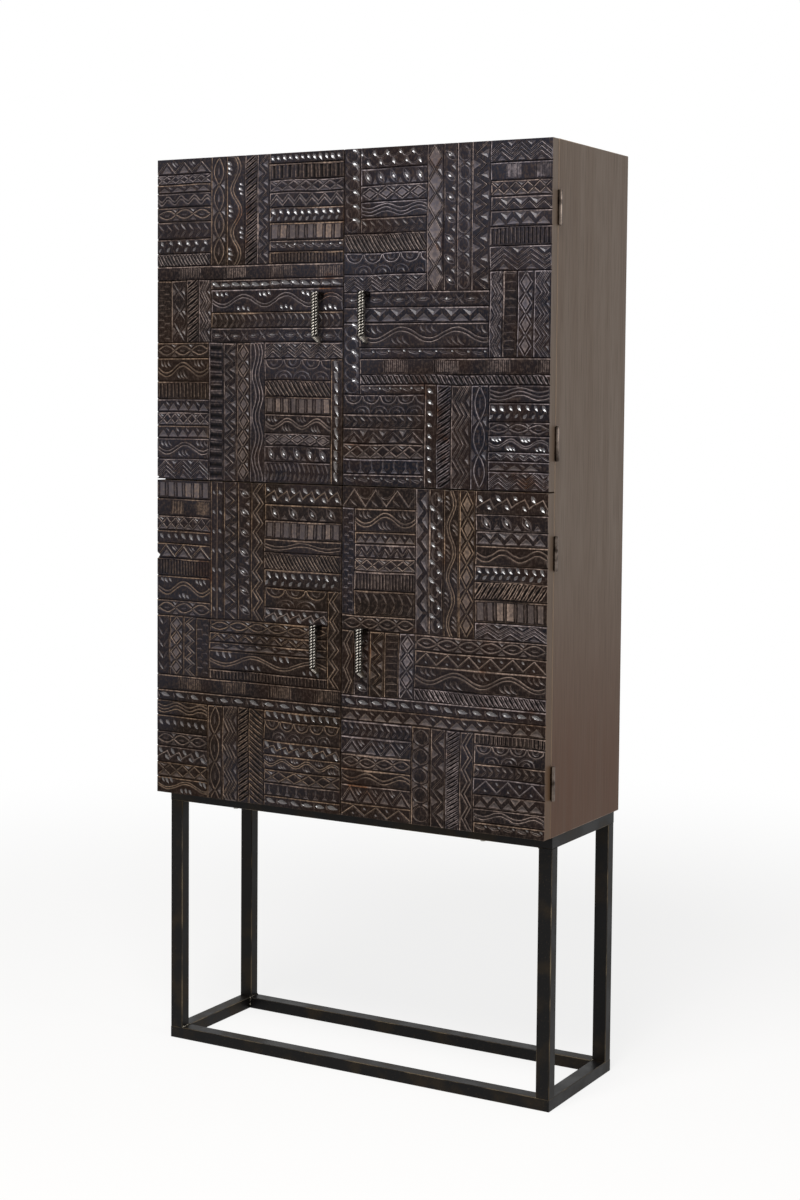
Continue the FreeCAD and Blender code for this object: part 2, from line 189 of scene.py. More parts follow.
def carvedLook(name, cool, warm, patch, pale, fleck, shade, rub, rough, gloss):
    # Mango wood, chip carved, stained near black and waxed: black in the cuts, stain darkened further as
    # painted shade, and worn edges show grey-brown to orange
    bare = ("#a2979a", [("#9a8069", ("tone",)), ("#7c563c", ("patches", 0.62, 0.72))])
    return {
        "name": name, "reads": ["carving"],
        "noise": {"clouds": (3.2, 2), "patches": (11, 3), "fine": (160, 4), "fading": (34, 3)},
        "grain": {"scratch": (520, 3)}, "stretch": (1, 1, 0.22), "lean": 0.7,
        "ground": cool,
        "layers": [(warm, ("tone",)), (patch, ("patches", 0.4, 0.65, 0, 0.6)),
                   (pale, ("clouds", 0.45, 0.7, 0, 0.7)), (fleck, ("fine", 0.5, 0.66, 0, 0.6)),
                   # the black layer: stain in the cuts, deepened as painted shade by how deep the cut is
                   (fleck, ("scratch", 0.54, 0.66, 0, 0.6)), ("#050404", ("black", 0.12, 0.7, 0, shade)),
                   (bare, ("worn", 0.3, 1), ("fine", 0.3, 0.65, 0.25, rub), ("fading", 0.38, 0.6, 0.4, 1))],
        "rough": ("fine", rough - 0.06, rough + 0.06), "bump": ("fine", 0.5, 0.0008),
        "shader": {"IOR": 1.5, "Specular IOR Level": gloss},
    }


def boardLook(name, stretch, low):
    # Mango wood, sanded, taupe-brown stain under satin lacquer: faint grain along the board, soft sheen,
    # and a darker, warmer colour at its low end, painted shade
    return {
        "name": name, "reads": ["height", "arris"],
        "grain": {"fibre": (260, 5), "bands": (24, 3)}, "stretch": stretch,
        "ground": low,
        # darker ground low down, lighter colour higher up: painted shade towards the low end
        "layers": [("#675a4f", ("height", 0.6, 1.2)), ("#534132", ("bands", 0.35, 0.65, 0, 0.4)),
                   ("#43352b", ("fibre", 0.45, 0.7, 0, 0.35)),
                   ("#8b7866", ("arris",), ("bands", 0.35, 0.6, 0.1, 0.7))],
        "rough": ("fibre", 0.42, 0.5), "bump": ("fibre", 0.12, 0.0004),
        "shader": {"IOR": 1.5, "Specular IOR Level": 0.15},
    }


looks = {
    # The flats: dull and dark with a cool cast
    "carved_wood": carvedLook("waxed_black_mango_flats", cool="#12131a", warm="#160f0a", patch="#20140e",
                              pale="#222229", fleck="#3a302b", shade=0.97, rub=1, rough=0.5, gloss=0.05),
    # The walls of cuts: burnished by the tool, a soft shine
    "carved_cuts": carvedLook("burnished_mango_cuts", cool="#312f37", warm="#352921", patch="#3a2d25",
                              pale="#434048", fleck="#544943", shade=0.9, rub=0.8, rough=0.38, gloss=0.28),
    # Scooped hollows: smooth as glass, they glint white
    "carved_hollows": carvedLook("burnished_mango_hollows", cool="#34323a", warm="#362e29", patch="#332b26",
                                 pale="#444149", fleck="#544c48", shade=0.6, rub=0.5, rough=0.24, gloss=1),
    "stained_wood": boardLook("satin_taupe_mango_wood", (1, 1, 0.04), "#4b2d17"),
    "door_wood": boardLook("satin_taupe_mango_wood_doors", (1, 1, 0.04), "#5a4431"),
    "lying_wood": boardLook("satin_taupe_mango_wood_lying", (0.04, 1, 1), "#5a4431"),
    # Thin plywood, brushed brown stain, unlacquered: matt, blotchy, crosswise grain
    "back_board": {
        "name": "stained_plywood", "noise": {"blotch": (7, 2)}, "grain": {"fibre": (180, 5)},
        "stretch": (0.05, 1, 1), "ground": "#5c4636",
        "layers": [("#4a382b", ("blotch", 0.35, 0.65)), ("#392a20", ("fibre", 0.45, 0.65, 0, 0.5))],
        "bump": ("fibre", 0.2, 0.0005), "shader": {"Roughness": 0.72, "IOR": 1.45},
    },
    # Mild steel tube, blackened and clear lacquered by hand: near black, brown bloom, dull gloss
    "black_iron": {
        "name": "blackened_iron", "reads": ["arris"], "noise": {"bloom": (16, 6), "speck": (320, 3)},
        "ground": "#0a0909",
        "layers": [("#261e13", ("bloom", 0.45, 0.7, 0, 0.7)), ("#403527", ("speck", 0.6, 0.75, 0, 0.4)),
                   ("#6a5d49", ("arris",), ("bloom", 0.4, 0.65, 0.1, 0.8))],
        "rough": ("bloom", 0.38, 0.55), "bump": ("speck", 0.2, 0.0004),
        "shader": {"IOR": 1.5, "Specular IOR Level": 0.13},
    },
    # Cast aluminium, tumbled and darkened: warm silver on the beads, brown-black left between them; the low
    # leg's slope painted silver as a painted highlight
    "antiqued_metal": {
        "name": "antiqued_cast_aluminium", "reads": ["raisedAndHighlight"], "noise": {"patches": (240, 4)},
        "sums": {"crestAndHighlight": (("patches", 0.35, 0.65, 0, 0.3), ("raisedAndHighlight",))},
        "ground": "#12100e", "layers": [("#c6c0b6", ("crestAndHighlight", 0.1, 1))],
        "rough": ("patches", 0.28, 0.42), "shader": {"Metallic": 1},
    },
    # Arc weld wiped over with black lacquer, its crests scraped bare: grey glints on near black
    "weld_bead": {
        "name": "scraped_steel_weld", "noise": {"scrape": (420, 4)},
        "ground": "#1b1916", "layers": [("#8d877b", ("scrape", 0.5, 0.62))],
        "rough": ("scrape", 0.35, 0.5), "shader": {"Metallic": 1},
    },
    # Steel hinges, bronzed and rubbed: brown, with a patchy shine
    "hinge_steel": {
        "name": "bronzed_steel", "noise": {"patches": (60, 4)},
        "ground": "#6c6159", "layers": [("#322b26", ("patches", 0.4, 0.65))],
        "rough": ("patches", 0.14, 0.27), "shader": {"Metallic": 1},
    },
    # Screws, bolts and strike plates, zinc plated: pale grey, satin
    "zinc_steel": {
        "name": "zinc_plated_steel", "noise": {"patches": (400, 4)},
        "ground": "#a5a39d", "layers": [("#84827d", ("patches", 0.4, 0.65))],
        "rough": ("patches", 0.3, 0.45), "shader": {"Metallic": 1},
    },
    # Brown moulded plastic of the magnetic catches: even, fine textured, low sheen
    "catch_plastic": {
        "name": "brown_moulded_plastic", "noise": {"fine": (900, 2)},
        "ground": "#38261c", "layers": [("#40301f", ("fine",))],
        "bump": ("fine", 0.15, 0.0002), "shader": {"Roughness": 0.5, "IOR": 1.5},
    },
}
finishes = {slot: makeMaterial(look) for slot, look in looks.items()}
lyingBoards = ("top_board", "middle_board", "bottom_board", "shelf_upper", "shelf_lower")
for part in frame["record"]["subparts"]:
    finish = "lying_wood" if part["node"] in lyingBoards else part["material_slot"]
    for holder in nodes[part["node"]].material_slots:
        holder.material = finishes[finish]
print("materials ready:", len(finishes))


# Boards and tubes with their arrises eased: copies of the frame's plain ones

easeSet = {
    "tube": {"radius": 1.3, "steps": 2, "slot": "black_iron"},
    "board": {"radius": 1.6, "steps": 3, "slot": "stained_wood"},
}


def eased(name, kind):
    # long arrises only: edges along a tube, or a board's outer rim
    look = easeSet[kind]
    low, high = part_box(name)
    sizes = high - low
    along = max(range(3), key=lambda i: sizes[i])
    shape = bmesh.new()
    shape.from_mesh(nodes[name].data)
    layer = shape.faces.layers.float.new("arris")
    bmesh.ops.remove_doubles(shape, verts=shape.verts, dist=1e-6)
    bmesh.ops.dissolve_limit(shape, angle_limit=0.001, verts=shape.verts, edges=shape.edges)
    atRim = lambda v, i: min(abs(v.co[i] - low[i]), abs(v.co[i] - high[i])) < 1e-5
    chosen = []
    for edge in shape.edges:
        a, b = edge.verts
        way = b.co - a.co
        axis = max(range(3), key=lambda i: abs(way[i]))
        others = [i for i in range(3) if i != axis]
        straight = all(abs(way[i]) < 1e-6 for i in others)
        onRim = all(atRim(v, i) for v in (a, b) for i in others)
        if onRim and (axis == along if kind == "tube" else straight):
            chosen.append(edge)
    made = bmesh.ops.bevel(shape, geom=chosen, offset=look["radius"] * mm, segments=look["steps"],
                           profile=0.5, affect="EDGES", clamp_overlap=True)
    rounded = set(made["faces"])
    for face in shape.faces:
        face[layer] = 1.0 if face in rounded else 0.0
        face.smooth = True
    for edge in shape.edges:
        edge.smooth = all(face in rounded for face in edge.link_faces)
    mesh = bpy.data.meshes.new("eased_" + name)
    shape.to_mesh(mesh)
    shape.free()
    mesh.attributes.remove(mesh.attributes["custom_normal"])
    mesh.materials.append(finishes["lying_wood" if name in lyingBoards else look["slot"]])
    piece = addObject("eased_" + name, mesh)
    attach(piece, "cabinet")
    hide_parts(name)
    return len(chosen)


tubes = [name for name in nodes if name.startswith("stand_") and name != "stand_bolts"]
boards = ("side_panel_left", "side_panel_right", "top_board", "bottom_board")
easedEdges = [eased(name, "tube") for name in tubes] + [eased(name, "board") for name in boards]
print("eased arrises:", easedEdges)


# Carved doors: every cut is a groove, scoop or chip in a flat board, triangulated with its edges

doorSet = {
    "boardDeep": 0.45, "arris": 1.2,  # how far the door's arris is eased, and how wide, mm
    "lipWide": 1.05, "lipDeep": 0.4,  # worn edge along every cut, mm
    "borderHalf": 1.6, "borderDeep": 3.0, "borderGap": 2.2, "stripHalf": 0.8, "borderAside": 0.5,
    "edgeFree": 0.5,                  # no border lies nearer to the door's edge, in hundredths of the door
    "lineHalf": 1.35, "lineDeep": 2.2,
    "ribHalf": 2.3, "ribDeep": 2.1,
    "cutHalf": 2.0, "cutDeep": 2.6, "tipDeep": 0.35, "tipBlunt": 0.6,
    "slashShare": 0.36, "slashTip": 0.6, "slashLeast": 0.3, "slashSteps": 21,
    "hatchHalf": 0.8, "hatchDeep": 1.1,
    "scoopLong": 14.5, "scoopHalf": 3.6, "scoopDeep": 2.6, "scoopTip": 0.2, "scoopSteps": 6,
    "scoopWidest": 1.15, "scoopDeepest": 1.1,          # limits of a large scoop's half width and depth
    "scoopFull": 0.75, "scoopClear": (0.08, 2.5),      # mm free at the band's ends
    "pitDeep": 3.2, "pitRound": 1.1, "paneDeep": 1.4,
    "fluteDeep": 2.6, "fluteRound": 1.2, "barShare": 0.27, "barWear": (0.2, 0.75),
    "slashLean": 0.62,                # how far a slanted cut runs along the band, of the band's breadth
    "ends": {"slash": 0.03, "hatch": 0.1, "flute": 0.06, "bar": 0.1},   # left free at each, of it
    "handShake": 0.28, "sizeShake": 0.14, "slantShake": 8,
    "warp": 0.9, "warpFade": 18,      # slow drift of the whole pattern, mm
    "driftWaves": [(31, 17, 23), (37, 19, -29)], "driftShare": 0.6,
    "mitre": 0.9, "finest": 0.12, "rimWorn": 0.6, "sharpAngle": 24,
    "seed": 11,
    "warmth": {"upper_left": 0.6, "upper_right": 0.2, "lower_left": 1.0, "lower_right": 0.6},
    "warmthSpread": 0.8,
    # how strongly each door's worn edges show; the lower right door's extra share is painted light,
    # brightening that door
    "rubbingAndLight": {"upper_left": 1.0, "upper_right": 1.0, "lower_left": 1.0, "lower_right": 1.25},
    # bites out of the left edge: (how far down, half its height, how far in), mm
    "bites": {"upper_left": [(669.5, 3.0, 4.0)], "lower_left": [(161, 7.5, 7.0)]}, "cornerLeft": 0.5,
}

# Sections across a cut: places from its middle (0) to its edge (1), and there how deep, how worn and how
# black with stain and painted shade
sections = {
    "vee": ((0, 1), (1, 0), (0, 0.5), (0.35, 0)),
    "pit": ((0, 1), (1, 0), (0, 0.5), (0.35, 0)),
    "line": ((0, 1), (1, 0), (0, 0.9), (1, 0.1)),
    "flat": ((0, 1), (0.3, 0), (0.8, 1), (0, 0)),
    "bowl": ((0, 0.3, 1), (1, 0.85, 0), (0, 0, 0.45), (0.25, 0.2, 0)),
    "rib": ((0, 0.2, 0.6, 1), (0.06, 0.06, 1, 0), (0.9, 0.9, 0, 0.35), (0, 0, 1, 0.1)),
    "flute": ((0, 1), (1, 0), (0, 0.6), (0.6, 0)),
    "slash": ((0, 1), (1, 0), (0, 0.75), (1, 0.4)),
    "hatch": ((0, 1), (1, 0), (0.3, 0.75), (0.4, 0)),
    "pane": ((0, 1), (1, 0), (0.35, 0.55), (0, 0)),
    "strip": ((0, 1), (0.5, 0), (0.9, 0.6), (0, 0)),
}
sections = {name: dict(zip(("at", "deep", "worn", "black"), rows)) for name, rows in sections.items()}


def peak(top, foot):
    return [(0, foot), (0.5, top), (1, foot)]


def pit(start, end, foot, tip):
    return [(start, foot), (end, foot), ((start + end) / 2, tip)]


def swing(middle, reach, turns=1.0):
    steps = 14 if turns >= 1 else 8
    return [(i / steps, middle + reach * math.sin(2 * math.pi * turns * i / steps)) for i in range(steps + 1)]


def arch(start, end, foot, crown, steps=8):
    middle, half = (start + end) / 2, (end - start) / 2
    angles = [math.pi * i / steps for i in range(steps + 1)]
    return [(middle - half * math.cos(a), foot + (crown - foot) * math.sin(a)) for a in angles]


def bow(ax, ay, bx, by, bend, steps=5):
    cx, cy = (ax + bx) / 2 + bend * (by - ay), (ay + by) / 2 - bend * (bx - ax)
    shares = [i / steps for i in range(steps + 1)]
    return [((1 - t) ** 2 * ax + 2 * t * (1 - t) * cx + t * t * bx,
             (1 - t) ** 2 * ay + 2 * t * (1 - t) * cy + t * t * by) for t in shares]


def path(*places):
    return list(zip(places[::2], places[1::2]))


forms = {"peak": peak, "pit": pit, "swing": swing, "arch": arch, "bow": bow, "path": path}


# Each motif fills one repeat, 0 to 1 along the band and 0 to 1 across it. Each of its cuts names the tool,
# the form of its line where it has one, and the form's places.
# line, rib: run on through the repeats. cut: pointed stroke. scoop: middle, slant in degrees, size.
# pit: hollow pyramid. pane: shallow one. slash: straight cut right across, and which way it leans.
# flute: groove right across, and its share of the repeat. bar: raised bar right across.
# hatch: fine lines from, to, how many.
motifs = {
    "zigzag2": "rib peak .08 .62, rib peak .38 .92",
    "zigzag3": "line peak .04 .5, line peak .27 .73, line peak .5 .96, pit -.2 .2 .05 .27, "
        "pit .32 .68 .96 .76",
    "peaks": "line peak .1 .92, pit .24 .76 .92 .45, cut path -.2 .14 .06 .52, cut path -.05 .1 .16 .4",
    "pits": "line peak .14 .86, pit .3 .7 .94 .5, pit -.2 .2 .06 .5",
    "dotted": "rib peak .1 .92, scoop 0 .3 40 .55, scoop .5 .78 40 .45",
    "lattice": "rib peak .08 .92, rib peak .92 .08, pit .07 .43 .95 .62, pit .57 .93 .95 .62, "
        "pit .1 .4 .05 .3",
    "teeth": "pit .05 .95 .92 .3, cut path .8 .08 1.14 .5",
    "teethDown": "pit -.42 .42 .08 .62, line peak .34 .92",
    "teethBoth": "pit .08 .92 .94 .42, pit -.38 .38 .06 .58",
    "wave2": "rib swing .36 .22, rib swing .64 .22",
    "wave3": "rib swing .24 .15, rib swing .5 .17, rib swing .76 .15",
    "waveDrops": "rib swing .42 .24, rib swing .58 .24, scoop .14 .16 55 .85, scoop .25 .2 55 .95, "
        "scoop .36 .16 55 .85, scoop .64 .86 55 .75, scoop .75 .82 55 .85, scoop .86 .86 55 .75",
    "waveStrokes": "rib swing .4 .24, rib swing .58 .24, cut bow .1 .06 .18 .36 -.2, "
        "cut bow .2 .06 .3 .42 -.2, cut bow .3 .06 .4 .36 -.2, cut bow .58 .62 .7 .94 -.2, "
        "cut bow .68 .56 .8 .94 -.2, cut bow .78 .56 .9 .94 -.2",
    "eyes": "rib swing .5 .34 .5, rib swing .5 -.34 .5, cut path .34 .5 .66 .5, pit -.16 .16 .06 .32, "
        "pit -.16 .16 .94 .68",
    "eyesCross": "cut bow .02 .5 .6 .5 .4, cut bow .02 .5 .6 .5 -.4, scoop .31 .5 0 .7, "
        "cut path .62 .12 1 .88, cut path .62 .88 1 .12",
    "feather": "cut path .05 .06 .75 .5, cut path .75 .52 .05 .94",
    "curvedFeather": "cut bow .1 .05 .75 .5 .25, cut bow .75 .54 .1 .95 .25",
    "commas": "scoop .5 .27 52 1, scoop .2 .74 -48 .8",
    "drops": "scoop .5 .46 52 1",
    "doubleDrops": "scoop .25 .28 48 1.05, scoop .75 .74 48 1, rib path 0 .72 .25 .56 .5 .44 .75 .3 1 .72",
    "slashDown": "slash 1",
    "slashUp": "slash -1",
    "bars": "bar, cut path 0 .03 0 .97",
    "comb": "flute .31",
    "ladder": "flute .42",
    "curvedLadder": "cut bow .2 .06 .2 .94 -.35",
    "beads": "scoop .5 .5 14 1.65, cut path 0 .2 .1 .8",
    "scallops": "rib arch .04 .96 .02 .46, cut arch .3 .7 .04 .26, cut arch .54 1.46 .98 .54, "
        "cut arch .8 1.2 .96 .74",
    "scallopDrops": "cut arch .06 .94 .04 .44, scoop .04 .26 60 .8, cut arch .56 1.44 .5 .92, "
        "scoop .54 .74 60 .8",
    "circles": "cut arch .1 .9 .5 .06, cut arch .1 .9 .5 .94, scoop .06 .76 60 1.3",
    "circlePits": "cut arch .12 .88 .5 .08, cut arch .12 .88 .5 .92, pit -.18 .18 .06 .36, "
        "pit -.18 .18 .94 .64",
    "circleDrops": "cut arch .1 .9 .5 .2, cut arch .1 .9 .5 .8, scoop 0 .24 50 1.15, scoop .5 .8 50 1.15",
    "leaves": "cut bow .06 .3 .8 .6 .3, cut bow .06 .3 .8 .6 -.25, scoop .86 .3 30 .5",
    "leafPits": "cut bow .3 .06 .7 .94 .35, cut bow .3 .06 .7 .94 -.35, scoop .5 .5 60 .9, "
        "pit -.14 .2 .94 .62",
    "diamonds": "rib peak .06 .5, rib peak .94 .5, pit -.2 .2 .06 .3, pit -.2 .2 .94 .7, "
        "pane path .2 .5 .5 .24 .8 .5 .5 .76",
    "bigDiamonds": "line peak .04 .5, line peak .96 .5, pane path .12 .5 .5 .12 .88 .5 .5 .88, "
        "pit -.26 .26 .04 .34, pit -.26 .26 .96 .66",
    "hourglass": "cut path .04 .1 .96 .9, cut path .04 .9 .96 .1, pit .3 .7 .94 .68, pit .3 .7 .06 .32",
    "sprigs": "cut path .5 .06 .5 .66, pit .22 .78 .94 .6",
    "glintPairs": "rib path 0 .5 1 .5, scoop .5 .22 35 .75, scoop .5 .78 35 .75",
    "halfRounds": "rib peak .1 .9, cut arch .62 1.38 .06 .5, cut path .3 .6 .62 .94",
    "scales": "cut bow .1 .06 .1 .5 -.6, cut bow .6 .5 .6 .94 -.6",
    "checker": "hatch .5 .98 12, flute .016",
}

# Bands as they lie on each door, in hundredths of its width and height from the top left corner.
# across: left, right, top. down: top, bottom, left. Then every band: where it ends, motif, repeats.
layouts = {
    "upper_left": """
    across 0 30 0: 4.9 peaks 3, 7.9 lattice 3, 10.6 teeth 4, 15 wave2 4, 19.5 eyes 3, 24.9 feather 7,
    29.5 commas 6, 33.4 slashDown 16;
    down 0 33.4 30: 38.5 eyes 4, 48.5 waveDrops 2.5, 55 slashUp 19, 61.5 pits 6;
    across 61.5 100 0: 3.2 drops 12, 8.1 comb 9, 11.9 lattice 3, 16.5 zigzag2 6, 21.1 commas 10,
    26.4 bars 8, 29.8 leaves 8, 33.4 comb 22;
    across 0 100 33.4: 37.8 checker 4;
    down 37.8 57.2 0: 8 scales 8, 16.5 hourglass 3, 23 slashUp 10, 30 zigzag3 3;
    across 30 100 37.8: 40.8 beads 13, 47.9 waveDrops 3, 52.8 curvedFeather 22, 57.2 eyesCross 7;
    across 0 29 57.2: 62 eyes 3, 69.3 waveStrokes 1.5, 74.9 comb 14, 79 teeth 5, 83.2 lattice 3,
    87.2 teeth 5, 93.6 waveStrokes 1.4, 100 zigzag3 3;
    down 57.2 100 29: 37 ladder 14, 44.2 pits 8, 51.5 diamonds 8, 59.3 wave3 3.3;
    across 59.3 100 57.2: 62.2 zigzag3 5;
    across 59.3 94.3 62.2: 68.8 scallops 3.5, 73.8 slashDown 14, 79.2 bars 8, 85 waveStrokes 2.2,
    88.8 diamonds 5, 93.6 leafPits 5, 100 curvedFeather 14;
    down 62.2 100 94.3: 100 beads 11""",
    "upper_right": """
    down 0 25.2 0: 8 circles 6;
    across 8 41 0: 6 scallopDrops 5, 11 leafPits 5, 15.8 diamonds 4, 20.6 wave3 2, 25.2 feather 8;
    across 0 41 25.2: 30.8 slashDown 20, 37.2 scallops 4.3, 42.5 zigzag3 4.5;
    down 0 42.5 41: 49 bigDiamonds 6, 55.5 leafPits 7, 62.5 circlePits 8, 71.3 pits 7;
    across 71.3 100 0: 6.3 zigzag3 3, 11.5 checker 2, 16 lattice 2.5, 20 teethDown 4, 24.5 teethBoth 4,
    30 comb 15, 37.2 zigzag3 2.2;
    across 0 71.3 42.5: 47 eyesCross 6, 51.6 teethBoth 8;
    down 37.2 62 71.3: 77.7 zigzag3 4, 84.5 curvedLadder 10, 92 diamonds 4, 100 zigzag3 4;
    down 51.6 72.8 0: 8 circles 5;
    across 8 71.3 51.6: 58.8 waveStrokes 2.3, 62 leaves 8;
    across 8 100 62: 66.8 checker 3.7, 69.8 slashDown 34;
    across 8 40.5 69.8: 72.8 leaves 6;
    across 0 40.5 72.8: 78.7 scallops 4.5, 82.8 feather 10, 87.5 pits 4, 92 lattice 3, 96.6 sprigs 7,
    100 leaves 6;
    down 69.8 100 40.5: 46.5 drops 9, 53.5 slashUp 17, 63 zigzag3 3.5, 71.5 eyes 3;
    across 71.5 100 69.8: 74.8 wave3 1.5, 80.3 commas 7, 84.3 eyes 3, 89 waveDrops 2, 91.7 teethDown 5,
    94.7 teeth 3.5, 100 zigzag3 3.2""",
    "lower_left": """
    across 0 30 0: 5.8 bars 6, 11.3 checker 2, 15.9 lattice 3, 20 drops 7, 24.8 peaks 3, 30.4 comb 18,
    38 waveDrops 1.5, 43 eyes 3;
    down 0 43 30: 37.2 glintPairs 7, 45 pits 8, 52.2 leafPits 7, 59.5 zigzag2 7;
    across 59.5 100 0: 6.3 doubleDrops 6, 11.3 leafPits 4, 17 bars 9, 21.2 wave2 1.5, 26.5 slashDown 21,
    32 commas 9;
    across 59.5 93 32: 38.2 scallops 3, 43 doubleDrops 5;
    down 32 62 93: 100 zigzag2 5;
    down 43 62 0: 7 feather 5, 14.8 diamonds 4, 22 zigzag2 5, 29.5 scales 6;
    across 29.5 93 43: 47.1 eyes 6, 50.2 pits 8, 52.8 teeth 7, 58.9 waveDrops 2, 62 comb 34;
    across 0 100 62: 66.8 checker 4, 70.2 beads 12;
    across 0 28.5 70.2: 75 wave3 2, 80.3 drops 7, 85 eyes 3, 90.2 doubleDrops 4, 95 lattice 2,
    100 waveDrops 1.3;
    down 70.2 100 28.5: 36.8 eyes 3.3, 45.3 zigzag3 3.7, 51.3 slashUp 17, 59.5 slashDown 17;
    across 59.5 100 70.2: 73.2 drops 10, 79.6 scallops 5, 84 doubleDrops 6, 88.6 waveStrokes 3,
    92.8 lattice 2.5, 96.8 sprigs 8, 100 beads 6""",
    "lower_right": """
    across 0 36.8 0: 6.3 halfRounds 3.3;
    down 6.3 38.5 0: 6 scales 12;
    across 6 36.8 6.3: 13.3 waveStrokes 1.5, 17 teeth 6, 21.2 pits 5, 25.3 lattice 2.5, 31 comb 18,
    38.5 curvedFeather 7;
    across 0 36.8 38.5: 43.2 eyes 4;
    down 0 43.2 36.8: 43.3 teethBoth 7, 50.5 circleDrops 8, 58 waveStrokes 3, 65.8 diamonds 6;
    across 65.8 100 0: 6.5 doubleDrops 4, 11.5 leafPits 3.5, 15.7 teethBoth 5, 21.5 wave2 2,
    26.2 commas 9, 31.5 slashUp 12, 38.2 bars 7, 43.2 zigzag3 3;
    down 43.2 62.9 0: 6 zigzag2 2.5, 14 leafPits 4, 21.5 pits 3, 29 curvedLadder 9, 36.8 diamonds 3.5;
    across 36.8 100 43.2: 47.9 eyes 6, 52.4 dotted 6, 59.2 waveStrokes 2.4, 62.9 slashDown 26;
    across 0 100 62.9: 66.7 beads 14, 70.7 teeth 13;
    across 0 35.5 70.7: 75.5 feather 11, 80.9 peaks 3.5, 85.4 eyes 4, 90.2 wave2 2, 95.8 peaks 4,
    100 dotted 3;
    down 70.7 100 35.5: 45 circlePits 5, 52.5 pits 4, 59.3 slashUp 22, 66 zigzag2 4;
    across 66 100 70.7: 74 comb 17, 79.6 scallops 4, 83.7 feather 10, 88.6 dotted 3, 92.8 teethBoth 5,
    96.9 wave2 2, 100 leaves 5""",
}

def groove(line, half, deep, section="vee", gloss=0):
    # gloss: which of the three carved finishes the cut's walls take
    line = np.array(line, float)
    return {"line": line, "half": half * np.ones(len(line)), "deep": deep * np.ones(len(line)),
            "section": sections[section], "gloss": gloss}


def resampled(line, count=4):
    line = np.array(line, float)
    lengths = np.concatenate([[0], np.cumsum(np.linalg.norm(np.diff(line, axis=0), axis=1))])
    spots = np.linspace(0, lengths[-1], count)
    return np.stack([np.interp(spots, lengths, line[:, i]) for i in (0, 1)], 1)


def pointed(line, half, deep):
    line = resampled(line, max(5, len(line)))
    swell = np.sin(np.linspace(0, math.pi, len(line))) ** doorSet["tipBlunt"]
    tip = doorSet["tipDeep"]
    return groove(line, half * swell, deep * (tip + (1 - tip) * swell), gloss=1)


def scoop(middle, slant, size):
    # a hollow drawn towards its middle, fullest before the middle
    long, half = doorSet["scoopLong"] * size, doorSet["scoopHalf"] * min(size, doorSet["scoopWidest"])
    angle, tip = math.radians(slant), doorSet["scoopTip"]
    reach = np.array([math.cos(angle), math.sin(angle)]) * long / 2
    shares = np.linspace(0, 1, doorSet["scoopSteps"])
    line = np.array(middle) + np.outer(2 * shares - 1, reach)
    swell = np.sin(math.pi * shares ** doorSet["scoopFull"])
    deep = doorSet["scoopDeep"] * min(size, doorSet["scoopDeepest"])
    return groove(line, half * swell, deep * (tip + (1 - tip) * swell), "bowl", 2)


def chip(corners, deep, section, gloss):
    # a hollow pyramid; a shallow one is a pane whose faces catch the light
    corners = np.array(corners, float)
    x, y = corners.T
    if np.dot(x, np.roll(y, -1)) < np.dot(y, np.roll(x, -1)):
        corners = corners[::-1]
    sides = np.linalg.norm(np.roll(corners, -1, 0) - corners, axis=1)
    weights = np.roll(sides, -1) if len(corners) == 3 else np.ones(len(corners))
    heart = (corners * weights[:, None]).sum(0) / weights.sum()
    return {"corners": corners, "heart": heart, "deep": deep, "gloss": gloss, "section": section}


def runOn(points, repeats):
    # one line through all the repeats, ended where the band ends
    line = []
    for k in range(math.ceil(repeats)):
        for u, v in points:
            if not line or abs(line[-1][0] - (k + u)) + abs(line[-1][1] - v) > 1e-6:
                line.append((k + u, v))
    kept = [p for p in line if p[0] <= repeats]
    if len(kept) < len(line) and kept:
        (ax, ay), (bx, by) = kept[-1], line[len(kept)]
        if repeats - ax > 1e-3 and bx > ax:
            kept.append((repeats, ay + (by - ay) * (repeats - ax) / (bx - ax)))
    return kept


